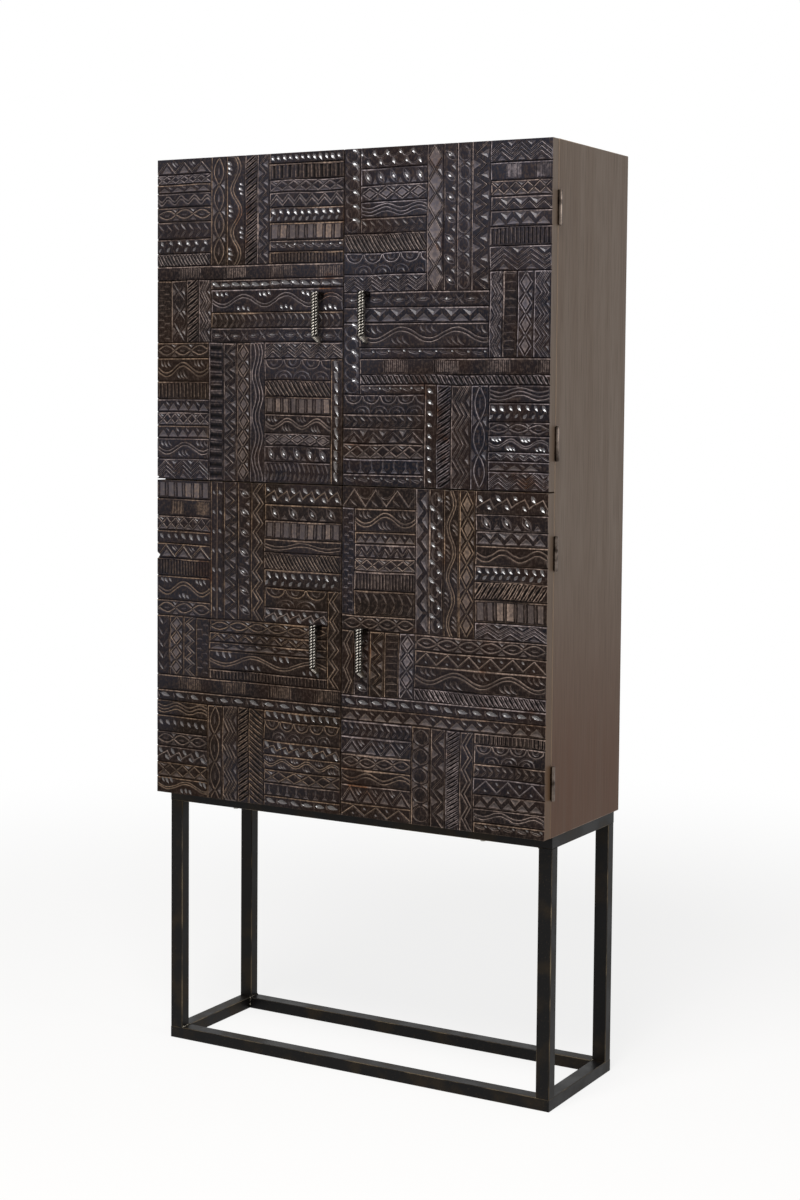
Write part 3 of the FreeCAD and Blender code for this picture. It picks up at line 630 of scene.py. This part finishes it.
def bandCuts(motif, repeats, length, breadth, rng):
    step = length / repeats
    size = np.array([step, breadth])
    by = doorSet["handShake"]
    shake = lambda points: [(u + rng.gauss(0, by), v + rng.gauss(0, by)) for u, v in points]
    resize = lambda: 1 + rng.uniform(-1, 1) * doorSet["sizeShake"]
    rung = lambda spot: shake([(spot, free * breadth), (spot, (1 - free) * breadth)])
    nearest, farthest = doorSet["scoopClear"]
    for text in motifs[motif].split(", "):
        tool, *words = text.split()
        form = words.pop(0) if words and words[0] in forms else tool
        shape = [float(word) for word in words]
        shape = forms[form](*shape) if form in forms else shape
        free = doorSet["ends"].get(tool, 0)
        if tool in ("line", "rib"):
            line = runOn(shape, repeats)
            if len(line) > 1:
                line = shake(np.array(line) * size)
                yield groove(line, doorSet[tool + "Half"] * resize(), doorSet[tool + "Deep"], tool, 1)
            continue
        for k in range(math.ceil(repeats)):
            middle = (k + 0.5) * step
            if tool in ("cut", "pit", "pane"):
                points = [(k + u, v) for u, v in shape]
                spare = 0.02 if tool == "cut" else 0.01
                if min(points)[0] < -spare or max(points)[0] > repeats + spare:
                    continue
                points = shake(np.array(points) * size)
                if tool == "cut":
                    yield pointed(points, doorSet["cutHalf"] * resize(), doorSet["cutDeep"])
                else:
                    yield chip(points, doorSet[tool + "Deep"], sections[tool], 1)
            elif tool == "scoop":
                u, v, slant, full = shape
                u = (k + u) * step
                if nearest < u < length - farthest:
                    slant += rng.uniform(-doorSet["slantShake"], doorSet["slantShake"])
                    yield scoop(shake([(u, v * breadth)])[0], slant, full * resize())
            elif tool == "slash":
                lean = shape[0] * doorSet["slashLean"] * breadth / 2
                start, end = middle - lean, middle + lean
                ends = [(start, free * breadth), (end, (1 - free) * breadth)]
                if min(start, end) < 0 or max(start, end) > length:
                    # one at the band's end is cut off where the band ends
                    spots = np.linspace(*ends, doorSet["slashSteps"])
                    spots = spots[(spots[:, 0] > 0) & (spots[:, 0] < length)]
                    ends = [tuple(spots[0]), tuple(spots[-1])]
                if abs(ends[1][1] - ends[0][1]) > doorSet["slashLeast"] * breadth:
                    line = resampled(shake(ends))
                    half = doorSet["slashShare"] * step * math.cos(math.atan(doorSet["slashLean"])) * resize()
                    taper = np.array([doorSet["slashTip"], 1, 1, doorSet["slashTip"]])
                    yield groove(line, half * taper, min(half, doorSet["cutDeep"]), "slash")
            elif tool == "hatch":
                first, last, count = shape
                for i in range(int(count)):
                    spot = (k + first + (last - first) * (i + 0.5) / count) * step
                    if spot < length:
                        yield groove(rung(spot), doorSet["hatchHalf"], doorSet["hatchDeep"], "hatch")
            elif tool == "flute":
                half = shape[0] * step
                deep = min(doorSet["fluteDeep"], doorSet["fluteRound"] * half)
                yield groove(resampled(rung(middle)), half * resize(), deep, "flute")
            elif tool == "bar":
                line = resampled(rung(middle))
                bar = groove(line, doorSet["barShare"] * step * resize(), doorSet["lipDeep"], "flat", 1)
                yield dict(bar, wear=rng.uniform(*doorSet["barWear"]))


def turned(cut, across, left, top):
    # from band places to the door's, in mm from its top left corner with y upwards
    key = "corners" if "corners" in cut else "line"
    u, v = cut[key].T
    moved = np.stack([left + u, -(top + v)] if across else [left + v, -(top + u)], 1)
    if key == "corners":
        return chip(moved, cut["deep"], cut["section"], cut["gloss"])
    return dict(cut, line=moved)


def alongside(line, away, closed=False):
    # the line moved aside by its own distance at each point, mitred where it turns
    if closed:
        line = np.vstack([line[-1:], line, line[:1]])
        away = np.concatenate([away[-1:], away, away[:1]])
    steps = np.diff(line, axis=0)
    steps = steps / (np.linalg.norm(steps, axis=1)[:, None] + 1e-9)
    before, after = np.vstack([steps[:1], steps]), np.vstack([steps, steps[-1:]])
    lean = before + after
    sides = np.stack([-lean[:, 1], lean[:, 0]], 1)
    mitre = 2 / np.maximum((sides ** 2).sum(1), doorSet["mitre"])
    moved = line + sides * (mitre * away)[:, None]
    return moved[1:-1] if closed else moved


def doorCuts(name, width, height, rng):
    borders, cuts, zones = {}, [], []
    gap = doorSet["borderGap"]
    for block in layouts[name].split(";"):
        head, text = block.split(":")
        direction, *places = head.split()
        start, end, first = map(float, places)
        across = direction == "across"
        alongSize, acrossSize = (width, height) if across else (height, width)
        bands = [band.split() for band in text.split(",")]
        edges = [first] + [float(band[0]) for band in bands]
        for spot in edges:
            borders[(across, spot, start, end)] = True
        for spot in (start, end):
            borders[(not across, spot, edges[0], edges[-1])] = True
        for low, high, (where, motif, repeats) in zip(edges, edges[1:], bands):
            length = (end - start) / 100 * alongSize - 2 * gap
            breadth = (high - low) / 100 * acrossSize - 2 * gap
            left = (start if across else low) / 100 * width + gap
            top = (low if across else start) / 100 * height + gap
            for cut in bandCuts(motif, float(repeats), length, breadth, rng):
                cuts.append(turned(cut, across, left, top))
            size = (length, breadth) if across else (breadth, length)
            tone = doorSet["warmth"][name] + doorSet["warmthSpread"] * (rng.random() - 0.5)
            zones.append((left - gap, gap - top, size[0] + 2 * gap, size[1] + 2 * gap, min(max(tone, 0), 1)))
    for across, spot, start, end in borders:
        if doorSet["edgeFree"] < spot < 100 - doorSet["edgeFree"]:
            x0, x1, y0, y1 = (start, end, spot, spot) if across else (spot, spot, start, end)
            line = np.array([(x0 * width, -y0 * height), (x1 * width, -y1 * height)]) / 100
            aside = np.array([0, 1]) if across else np.array([-1, 0])
            shift = doorSet["borderAside"]
            cuts.append(groove(line + shift * aside, doorSet["borderHalf"], doorSet["borderDeep"]))
            reach = doorSet["borderHalf"] + doorSet["stripHalf"] - shift
            cuts.append(groove(line - reach * aside, doorSet["stripHalf"], doorSet["lipDeep"], "strip"))
    return cuts, zones


def rim(name, width, height, inset=0.0):
    # the door's outline from its top left corner, anticlockwise, with the bites out of its left edge
    points = [(inset, -inset)]
    for down, half, reach in doorSet["bites"].get(name, []):
        low = min(down + half, height - doorSet["cornerLeft"])
        points += [(inset, half - down - inset), (reach + inset, -down), (inset, -low - inset)]
    points += [(inset, inset - height), (width - inset, inset - height), (width - inset, -inset)]
    return np.array(points)


def nearestOn(points, start, ahead):
    # each point's nearest place on every segment: how far along it, of 1, and how far away
    t = ((points[:, None] - start[None]) * ahead[None]).sum(2) / np.maximum((ahead ** 2).sum(1), 1e-9)
    t = np.clip(t, 0, 1)
    return t, np.linalg.norm(points[:, None] - (start[None] + t[..., None] * ahead[None]), axis=2)


def within(points, rimLine):
    x, y = points.T
    count = np.zeros(len(points), int)
    for (ax, ay), (bx, by) in zip(rimLine, np.roll(rimLine, -1, 0)):
        crosses = (ay > y) != (by > y)
        count += crosses & (x < ax + (y - ay) * (bx - ax) / (by - ay + 1e-12))
    return count % 2 == 1


def outlines(name, cuts, width, height):
    # every edge that the triangles have to follow
    spots, edges = [], []

    def add(points, closed):
        start, count = len(spots), len(points)
        spots.extend(Vector(p) for p in points)
        edges.extend((start + i, start + (i + 1) % count) for i in range(count if closed else count - 1))

    lip = doorSet["lipWide"]
    for inset in (0, doorSet["arris"]):
        add(rim(name, width, height, inset), True)
    for cut in cuts:
        if "corners" in cut:
            corners = cut["corners"]
            add(corners, True)
            add(alongside(corners, np.full(len(corners), -lip), True), True)
            for corner in corners:
                add([corner, cut["heart"]], False)
            continue
        line, half = cut["line"], cut["half"]
        longer = line.copy()
        for tip, inner in ((0, 1), (-1, -2)):
            longer[tip] += (line[tip] - line[inner]) / (np.linalg.norm(line[tip] - line[inner]) + 1e-9) * lip
        rings = [(longer, half + lip)] + [(line, half * share) for share in cut["section"]["at"][1:]]
        for middle, away in rings:
            add(np.vstack([alongside(middle, away), alongside(middle, -away)[::-1]]), True)
        add(line, False)
    return spots, edges


def relief(spots, cuts):
    # depth in mm, worn edge, black stain with painted shade, and gloss at each spot
    deep, worn, black, gloss = (np.zeros(len(spots)) for _ in range(4))
    lip, lipDeep, finest = doorSet["lipWide"], doorSet["lipDeep"], doorSet["finest"]
    for cut in cuts:
        section = cut["section"]
        points = cut["corners"] if "corners" in cut else cut["line"]
        margin = lip + (0 if "corners" in cut else cut["half"].max())
        low, high = points.min(0) - margin, points.max(0) + margin
        near = np.nonzero(((spots >= low) & (spots <= high)).all(1))[0]
        if not len(near):
            continue
        p = spots[near]
        if "corners" in cut:
            ahead = np.roll(points, -1, 0) - points
            sides = np.stack([-ahead[:, 1], ahead[:, 0]], 1) / np.linalg.norm(ahead, axis=1)[:, None]
            inside = ((p[:, None] - points[None]) * sides[None]).sum(2).min(1)
            full = ((cut["heart"] - points) * sides).sum(1).min()
            bottom = min(cut["deep"], full * doorSet["pitRound"])
            ratio = 1 - np.clip(inside / max(full, 1e-6), 0, 1)
            outside = -inside
        else:
            t, gap = nearestOn(p, points[:-1], np.diff(points, axis=0))
            half = cut["half"][:-1] * (1 - t) + cut["half"][1:] * t
            nearest = (gap - half).argmin(1)
            rows = np.arange(len(p))
            gap, half, t = gap[rows, nearest], half[rows, nearest], t[rows, nearest]
            bottom = cut["deep"][nearest] * (1 - t) + cut["deep"][nearest + 1] * t
            ratio = np.where(half < finest, 1, np.clip(gap / np.maximum(half, finest), 0, 1))
            outside = gap - half
        across = {key: np.interp(ratio, section["at"], section[key]) for key in ("deep", "worn", "black")}
        edge = np.clip(1 - outside / lip, 0, 1)
        depth = np.where(outside > 0, lipDeep * edge, lipDeep + (bottom - lipDeep) * across["deep"])
        depth = np.where(outside >= lip - 1e-6, 0, depth)
        wear = np.where(outside > 0, edge * section["worn"][-1], across["worn"]) * cut.get("wear", 1)
        # black in the cuts: stain, deepened as painted shade
        stainAndShade = np.where(outside > 0, 0, across["black"])
        shine = np.where((outside > 0) | (across["deep"] < 0.02), 0, cut["gloss"])
        take = depth > deep[near] + 1e-6
        for field, value in ((deep, depth), (worn, wear), (black, stainAndShade), (gloss, shine)):
            field[near[take]] = value[take]
    return deep, worn, black, gloss


def boundary(faces):
    # the open edge of the triangles, as one loop of points
    pairs = np.concatenate([faces[:, [0, 1]], faces[:, [1, 2]], faces[:, [2, 0]]])
    known = set(map(tuple, pairs.tolist()))
    ahead = {a: b for a, b in known if (b, a) not in known}
    loop = [next(iter(ahead))]
    while ahead[loop[-1]] != loop[0]:
        loop.append(ahead[loop[-1]])
    return loop


def carvedDoor(name, materials):
    low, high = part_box("door_" + name)
    width, height = (high.x - low.x) / mm, (high.z - low.z) / mm
    rng = random.Random(doorSet["seed"] + list(layouts).index(name))
    cuts, zones = doorCuts(name, width, height, rng)
    spots, edges = outlines(name, cuts, width, height)
    found = delaunay_2d_cdt(spots, edges, [], 0, 1e-4)
    flat = np.array([(v.x, v.y) for v in found[0]])
    faces = np.array(found[2])
    edgeLine = rim(name, width, height)
    faces = faces[within(flat[faces].mean(1), edgeLine)]
    used, faces = np.unique(faces, return_inverse=True)
    flat, faces = flat[used], faces.reshape(-1, 3)
    deep, worn, black, gloss = relief(flat, cuts)

    # the outer arris is eased, and the pattern drifts a little away from straight
    toEdge = nearestOn(flat, edgeLine, np.roll(edgeLine, -1, 0) - edgeLine)[1].min(1)
    onEdge = toEdge < 1e-3
    deep = np.where(onEdge, np.maximum(deep, doorSet["boardDeep"]), deep)
    worn = np.where(onEdge, doorSet["rimWorn"], worn)
    fade = np.clip(toEdge / doorSet["warpFade"], 0, 1) * doorSet["warp"]
    x, y = flat.T
    phase = rng.uniform(0, 6)
    drift = np.stack([np.sin(v / long + lag * phase) + doorSet["driftShare"] * np.sin(x / a + y / b)
                      for (long, a, b), v, lag in zip(doorSet["driftWaves"], (y, x), (1, 2))], 1)
    warped = flat + drift * fade[:, None]

    # worn edges scaled per door; the lower right door's larger share is painted light
    worn = np.clip(worn * doorSet["rubbingAndLight"][name], 0, 1)
    tone = np.full(len(flat), 0.5)
    for left, top, across, down, value in zones:
        tone[(x >= left) & (x <= left + across) & (y <= top) & (y >= top - down)] = value

    front = np.stack([low.x + warped[:, 0] * mm, low.y + deep * mm, high.z + warped[:, 1] * mm], 1)
    count, loop = len(front), boundary(faces)
    back = front[loop].copy()
    back[:, 1] = high.y
    after = loop[1:] + loop[:1]
    walls = [(b, a, count + i, count + (i + 1) % len(loop)) for i, (a, b) in enumerate(zip(loop, after))]
    rear = [count + i for i in range(len(loop))][::-1]
    mesh = bpy.data.meshes.new("carved_door_" + name)
    mesh.from_pydata(np.vstack([front, back]).tolist(), [], faces.tolist() + walls + [rear])
    # the edge that meets the other door takes the dark flats finish: painted shade in the gap between the
    # doors
    meeting = min((low.x, high.x), key=abs)
    sides = [0 if max(abs(front[i][0] - meeting) for i in wall[:2]) < 0.5 * mm else 3 for wall in walls]
    mesh.polygons.foreach_set("material_index", gloss[faces].max(1).astype(int).tolist() + sides + [3])
    colours = np.zeros((count + len(loop), 4), np.float32)
    colours[:count] = np.stack([worn, black, gloss / 2, tone], 1)
    attribute = mesh.attributes.new("carving", "FLOAT_COLOR", "POINT")
    attribute.data.foreach_set("color", colours.ravel())
    mesh.shade_smooth()
    mesh.set_sharp_from_angle(angle=math.radians(doorSet["sharpAngle"]))
    for material in materials:
        mesh.materials.append(material)
    door = addObject("carved_door_" + name, mesh)
    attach(door, name + "_door")
    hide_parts("door_" + name)
    print("carved", name, len(cuts), "cuts,", len(faces), "triangles")


doorFinishes = [finishes[slot] for slot in ("carved_wood", "carved_cuts", "carved_hollows", "door_wood")]
for doorName in layouts:
    carvedDoor(doorName, doorFinishes)


# Geometry Nodes trees, built here and applied at once

def newTree(name, inputs):
    # inputs: {socket name: (socket type, value)}
    tree = bpy.data.node_groups.new(name, "GeometryNodeTree")
    tree.interface.new_socket("Geometry", in_out="INPUT", socket_type="NodeSocketGeometry")
    for label, (kind, value) in inputs.items():
        socket = tree.interface.new_socket(label, in_out="INPUT", socket_type=kind)
        socket.default_value = value
    tree.interface.new_socket("Geometry", in_out="OUTPUT", socket_type="NodeSocketGeometry")
    return tree, addNode(tree, "NodeGroupInput").outputs


def endTree(tree, given, instances):
    real = addNode(tree, "GeometryNodeRealizeInstances", {"Geometry": instances})
    dressed = addNode(tree, "GeometryNodeSetMaterial", {"Geometry": real, "Material": given["Finish"]})
    addNode(tree, "NodeGroupOutput", {0: dressed})


def grown(mesh, tree, values, name):
    # the tree's result on a mesh, as a plain mesh
    holder = addObject(name + "_maker", mesh)
    modifier = holder.modifiers.new("growth", "NODES")
    modifier.node_group = tree
    for item in tree.interface.items_tree:
        if item.in_out == "INPUT" and item.name in values:
            modifier[item.identifier] = values[item.name]
    bpy.context.view_layer.update()
    shaped = holder.evaluated_get(bpy.context.evaluated_depsgraph_get())
    result = bpy.data.meshes.new_from_object(shaped)
    result.name = name
    holder.modifiers.clear()
    bpy.data.objects.remove(holder)
    return result


# Cast bow handles: a bar on two sloping legs, faced with rows of slanting beads

handleSet = {
    "legSlope": 14, "foot": 12, "thick": 7.2,        # mm, as the frame's bow, square at its top end
    "faceBack": 1,                                   # how far the bar's face lies behind the frame's, mm
    "flare": 1.6, "flareFrom": 0.45,                 # how much wider its top end grows, each side, mm
    "arris": 0.9, "arrisSteps": 3,
    "taper": 0.55,                                   # how much narrower its low leg is at the door
    # rows: how many beads, their step and each bead's size, mm. Low runs down the slope of the low leg
    "rows": {"Wide": (15, 5.9, (7.4, 3.8, 2.9)), "Slim": (15, 5.9, (5.4, 3.4, 2.4)),
             "Low": (4, 4.8, (8.6, 4.2, 3.2))},
    "wideColumn": -3.0, "slimColumn": 4.2,           # where the rows stand, from the bar's middle, mm
    "slimLift": 0.4,                                 # how far the slim row is shifted up, of a step
    "slant": 36.0, "uneven": 0.12,
    "raise": 7.0,                                    # the rows' middle above the bar's, mm
    "sunk": 1.2, "lowSunk": 1.8,                     # the beads' middles behind the bow's front, mm
    "lowStart": 2,                                   # the low row's first bead down its slope, mm
    # the slope of the low leg is painted bright: a painted highlight
    "slopeBright": 0.9, "slopeOver": 1, "slopeBehind": 1.5,    # how bright, and where the slope ends, mm
    "sharpAngle": 40,
    "seedStart": 5, "seedStep": 7,
}


def beadTree():
    inputs = {"Slant": ("NodeSocketFloat", 0.0), "Seed": ("NodeSocketInt", 3),
              "Finish": ("NodeSocketMaterial", None)}
    for row in handleSet["rows"]:
        inputs[row + " Beads"] = ("NodeSocketInt", 4)
        inputs.update({row + part: ("NodeSocketVector", (0, 0, 0)) for part in (" Start", " Step", " Size")})
    tree, given = newTree("beadedFace", inputs)
    bead = addNode(tree, "GeometryNodeMeshUVSphere", {"Segments": 12, "Rings": 8, "Radius": 0.5})
    smooth = addNode(tree, "GeometryNodeSetShadeSmooth", {"Geometry": bead})
    named = {"Geometry": smooth, "Name": "raisedAndHighlight", "Value": 1.0}
    raisedAndHighlight = addNode(tree, "GeometryNodeStoreNamedAttribute", named, data_type="FLOAT", domain="POINT")
    turn = addNode(tree, "ShaderNodeCombineXYZ", {1: given["Slant"]})
    joined = addNode(tree, "GeometryNodeJoinGeometry")
    for order, row in enumerate(handleSet["rows"]):
        laid = {"Count": given[row + " Beads"], "Start Location": given[row + " Start"],
                "Offset": given[row + " Step"]}
        line = addNode(tree, "GeometryNodeMeshLine", laid, mode="OFFSET")
        seed = addNode(tree, "ShaderNodeMath", {0: given["Seed"], 1: float(order)}, operation="ADD")
        between = {2: 1 - handleSet["uneven"], 3: 1 + handleSet["uneven"], "Seed": seed}
        uneven = addNode(tree, "FunctionNodeRandomValue", between, data_type="FLOAT").outputs[1]
        sized = {0: given[row + " Size"], "Scale": uneven}
        size = addNode(tree, "ShaderNodeVectorMath", sized, operation="SCALE")
        placed = {"Points": line, "Instance": raisedAndHighlight, "Rotation": turn, "Scale": size}
        beads = addNode(tree, "GeometryNodeInstanceOnPoints", placed)
        tree.links.new(beads.outputs[0], joined.inputs[0])
    tree.links.new(given["Geometry"], joined.inputs[0])
    endTree(tree, given, joined)
    return tree


def bowBar(low, high):
    # the plain bow from the door's face out, with its arrises eased
    width, reach, half = (high.x - low.x) / mm, (high.y - low.y) / mm, (high.z - low.z) / mm / 2
    slope, foot, thick = handleSet["legSlope"], handleSet["foot"], handleSet["thick"]
    front = reach - handleSet["faceBack"]
    midX, midZ = (low.x + high.x) / 2, (low.z + high.z) / 2
    side = [(0, -half), (front, slope - half), (front, half), (0, half), (0, half - foot),
            (front - thick, half - foot), (front - thick, foot + slope / 2 - half), (0, foot - half)]
    shape = bmesh.new()
    rings, flareFrom = [], handleSet["flareFrom"]
    for sign in (-1, 1):
        ring = []
        for out, up in side:
            flare = handleSet["flare"] * max(0, (up / half - flareFrom) / (1 - flareFrom))
            taper = handleSet["taper"] * (1 - out / front) if up < 0 else 0
            across = width / 2 * (1 - taper) + flare
            ring.append(shape.verts.new((midX + sign * across * mm, high.y - out * mm, midZ + up * mm)))
        rings.append(ring)
    for i in range(len(side)):
        j = (i + 1) % len(side)
        shape.faces.new((rings[0][i], rings[0][j], rings[1][j], rings[1][i]))
    for ring in rings:
        shape.faces.new(ring)
    bmesh.ops.recalc_face_normals(shape, faces=shape.faces)
    bmesh.ops.bevel(shape, geom=list(shape.edges), offset=handleSet["arris"] * mm,
                    segments=handleSet["arrisSteps"], profile=0.5, affect="EDGES", clamp_overlap=True)
    # dark between its beads and on its sides; the slope of its low leg painted bright, a painted highlight
    mesh = bpy.data.meshes.new("bow_bar")
    shape.to_mesh(mesh)
    shape.free()
    bright = mesh.attributes.new("raisedAndHighlight", "FLOAT", "POINT")
    slopeTop = low.z + (slope + handleSet["slopeOver"]) * mm
    slopeFront = low.y + handleSet["slopeBehind"] * mm
    onSlope = [v.co.z < slopeTop and v.co.y > slopeFront for v in mesh.vertices]
    bright.data.foreach_set("value", [handleSet["slopeBright"] if on else 0.0 for on in onSlope])
    mesh.shade_smooth()
    mesh.set_sharp_from_angle(angle=math.radians(handleSet["sharpAngle"]))
    return mesh


def addHandle(name, tree, seed):
    low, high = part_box("handle_" + name)
    middle = (low + high) / 2
    count, step, size = handleSet["rows"]["Wide"]
    foot = middle.z + (handleSet["raise"] - step * (count - 1) / 2) * mm
    start = Vector((middle.x, low.y + handleSet["sunk"] * mm, foot))
    down = Vector((0, high.y - low.y, -handleSet["legSlope"] * mm)).normalized()
    slopeTop = Vector((middle.x, low.y + handleSet["lowSunk"] * mm, low.z + handleSet["legSlope"] * mm))
    starts = {
        "Wide": start + Vector((handleSet["wideColumn"] * mm, 0, 0)),
        "Slim": start + Vector((handleSet["slimColumn"] * mm, 0, step * mm * handleSet["slimLift"])),
        "Low": slopeTop + down * handleSet["lowStart"] * mm,
    }
    values = {"Seed": seed, "Finish": finishes["antiqued_metal"], "Slant": -math.radians(handleSet["slant"])}
    for row, (count, step, size) in handleSet["rows"].items():
        values[row + " Beads"] = count
        values[row + " Start"] = starts[row]
        values[row + " Step"] = down * step * mm if row == "Low" else (0, 0, step * mm)
        values[row + " Size"] = [length * mm for length in size]
    mesh = grown(bowBar(low, high), tree, values, "beaded_handle_" + name)
    handle = addObject("beaded_handle_" + name, mesh)
    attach(handle, name + "_door")
    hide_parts("handle_" + name)
    return len(mesh.polygons)


beads = beadTree()
seeds = [handleSet["seedStart"] + handleSet["seedStep"] * order for order in range(len(layouts))]
handleFaces = [addHandle(name, beads, seed) for name, seed in zip(layouts, seeds)]
print("handles:", handleFaces, "faces")


# Weld seams in the inner corners of the stand

weldSet = {
    "bead": 5.0, "step": 2.6,                        # size of a bead and how far apart they lie, mm
    "flat": 0.45, "uneven": 0.3,
    "seamShare": 0.9, "upShare": 0.8,                # length of a seam across the rail and up the leg, of it
    "seed": 21,
}


def weldTree():
    tree, given = newTree("weldSeam", {
        "Step": ("NodeSocketFloat", 0.003), "Bead": ("NodeSocketFloat", 0.005),
        "Flat": ("NodeSocketFloat", 0.5), "Seed": ("NodeSocketInt", 1),
        "Finish": ("NodeSocketMaterial", None)})
    seams = addNode(tree, "GeometryNodeMeshToCurve", {"Mesh": given["Geometry"]})
    stepped = {"Curve": seams, "Length": given["Step"]}
    points = addNode(tree, "GeometryNodeResampleCurve", stepped, mode="LENGTH")
    blob = addNode(tree, "GeometryNodeMeshIcoSphere", {"Radius": 0.5, "Subdivisions": 2})
    smooth = addNode(tree, "GeometryNodeSetShadeSmooth", {"Geometry": blob})
    between = {2: 1 - weldSet["uneven"], 3: 1 + weldSet["uneven"], "Seed": given["Seed"]}
    uneven = addNode(tree, "FunctionNodeRandomValue", between, data_type="FLOAT").outputs[1]
    size = addNode(tree, "ShaderNodeMath", {0: given["Bead"], 1: uneven}, operation="MULTIPLY")
    thin = addNode(tree, "ShaderNodeMath", {0: size, 1: given["Flat"]}, operation="MULTIPLY")
    scale = addNode(tree, "ShaderNodeCombineXYZ", {0: size, 1: thin, 2: size})
    placed = {"Points": points, "Instance": smooth, "Scale": scale}
    blobs = addNode(tree, "GeometryNodeInstanceOnPoints", placed)
    endTree(tree, given, blobs)
    return tree


def addWelds():
    # one seam up the front and back of every leg's foot and head, where it meets the rails
    spots, edges = [], []
    for depth, side, level in itertools.product(("front", "back"), ("left", "right"), ("floor", "top")):
        # the faces of the leg and the rail that look into the stand
        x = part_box("stand_leg_" + depth + "_" + side)[side == "left"].x
        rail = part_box("stand_" + level + "_rail_" + depth)
        inner, edge = rail[depth == "front"].y, rail[level == "floor"].z
        reach = (rail[1].y - rail[0].y) * (1 - weldSet["seamShare"]) / 2
        lean = weldSet["upShare"] * (rail[1].z - rail[0].z) * (-1 if level == "floor" else 1)
        start = len(spots)
        spots += [(x, rail[0].y + reach, edge), (x, rail[1].y - reach, edge), (x, inner, edge),
                  (x, inner, edge + lean)]
        edges += [(start, start + 1), (start + 2, start + 3)]
    mesh = bpy.data.meshes.new("weld_lines")
    mesh.from_pydata(spots, edges, [])
    values = {"Step": weldSet["step"] * mm, "Bead": weldSet["bead"] * mm, "Flat": weldSet["flat"],
              "Seed": weldSet["seed"], "Finish": finishes["weld_bead"]}
    welds = addObject("stand_weld_seams", grown(mesh, weldTree(), values, "stand_weld_seams"))
    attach(welds, "cabinet")
    print("welds:", len(welds.data.polygons), "faces")


addWelds()


# Floor, lamps and world

stageSet = {
    "floorHalf": 9.0, "fadeFrom": 1.2, "fadeTo": 3.4,      # metres from the cabinet's middle
    "floorColour": "#ece9e5", "worldColour": "#ffffff", "worldLight": 0.35,
    "floorWhite": 0.8,                                     # how white the floor is round the object, of 1
    "aim": (0, 0, 1.0),                                    # where the lamps point
}
lamps = [
    # name, place, size in metres, watts
    ("topLamp", (0.5, -2.3, 4.0), 2.0, 170),
    ("sideLamp", (4.2, -0.6, 1.9), 1.6, 34),
]


def shownRays(tree):
    # rays that show the white background: to the camera, and by way of gloss or glass
    paths = addNode(tree, "ShaderNodeLightPath").outputs
    shown = paths["Is Camera Ray"]
    for kind in ("Is Glossy Ray", "Is Transmission Ray"):
        shown = addNode(tree, "ShaderNodeMath", {0: shown, 1: paths[kind]}, operation="MAXIMUM")
    return shown


def addFloor():
    half = stageSet["floorHalf"]
    mesh = bpy.data.meshes.new("floor")
    corners = [(-half, -half, 0), (half, -half, 0), (half, half, 0), (-half, half, 0)]
    mesh.from_pydata(corners, [], [(0, 1, 2, 3)])
    floor = addObject("floor", mesh)
    material, tree = newMaterial("pale_studio_floor")
    place = addNode(tree, "ShaderNodeTexCoord").outputs["Object"]
    reach = addNode(tree, "ShaderNodeVectorMath", {0: place}, operation="LENGTH").outputs["Value"]
    fade = ("reach", stageSet["fadeFrom"], stageSet["fadeTo"], stageSet["floorWhite"], 1.0)
    seen = combined(tree, {"shown": shownRays(tree), "reach": reach}, [("shown",), fade])
    lit = addNode(tree, "ShaderNodeBsdfDiffuse", {"Color": linear(stageSet["floorColour"])})
    white = addNode(tree, "ShaderNodeEmission", {"Color": linear("#ffffff"), "Strength": 1.0})
    mixed = addNode(tree, "ShaderNodeMixShader", {0: seen, 1: lit, 2: white})
    addNode(tree, "ShaderNodeOutputMaterial", {"Surface": mixed})
    mesh.materials.append(material)


def addWorld():
    world = bpy.data.worlds.new("studio")
    world.use_nodes = True
    tree = world.node_tree
    tree.nodes.clear()
    strength = combined(tree, {"shown": shownRays(tree)}, [("shown", 0, 1, stageSet["worldLight"], 1.0)])
    lit = {"Color": linear(stageSet["worldColour"]), "Strength": strength}
    light = addNode(tree, "ShaderNodeBackground", lit)
    addNode(tree, "ShaderNodeOutputWorld", {"Surface": light})
    bpy.context.scene.world = world


def addLamp(name, place, size, watts):
    data = bpy.data.lights.new(name, "AREA")
    data.shape = "DISK"
    data.size = size
    data.energy = watts
    lamp = addObject(name, data)
    aim = Vector(stageSet["aim"]) - Vector(place)
    lamp.matrix_world = Matrix.Translation(place) @ aim.to_track_quat("-Z", "Y").to_matrix().to_4x4()


addFloor()
addWorld()
for lamp in lamps:
    addLamp(*lamp)
bpy.context.scene.view_settings.view_transform = "Standard"
print("stage set")
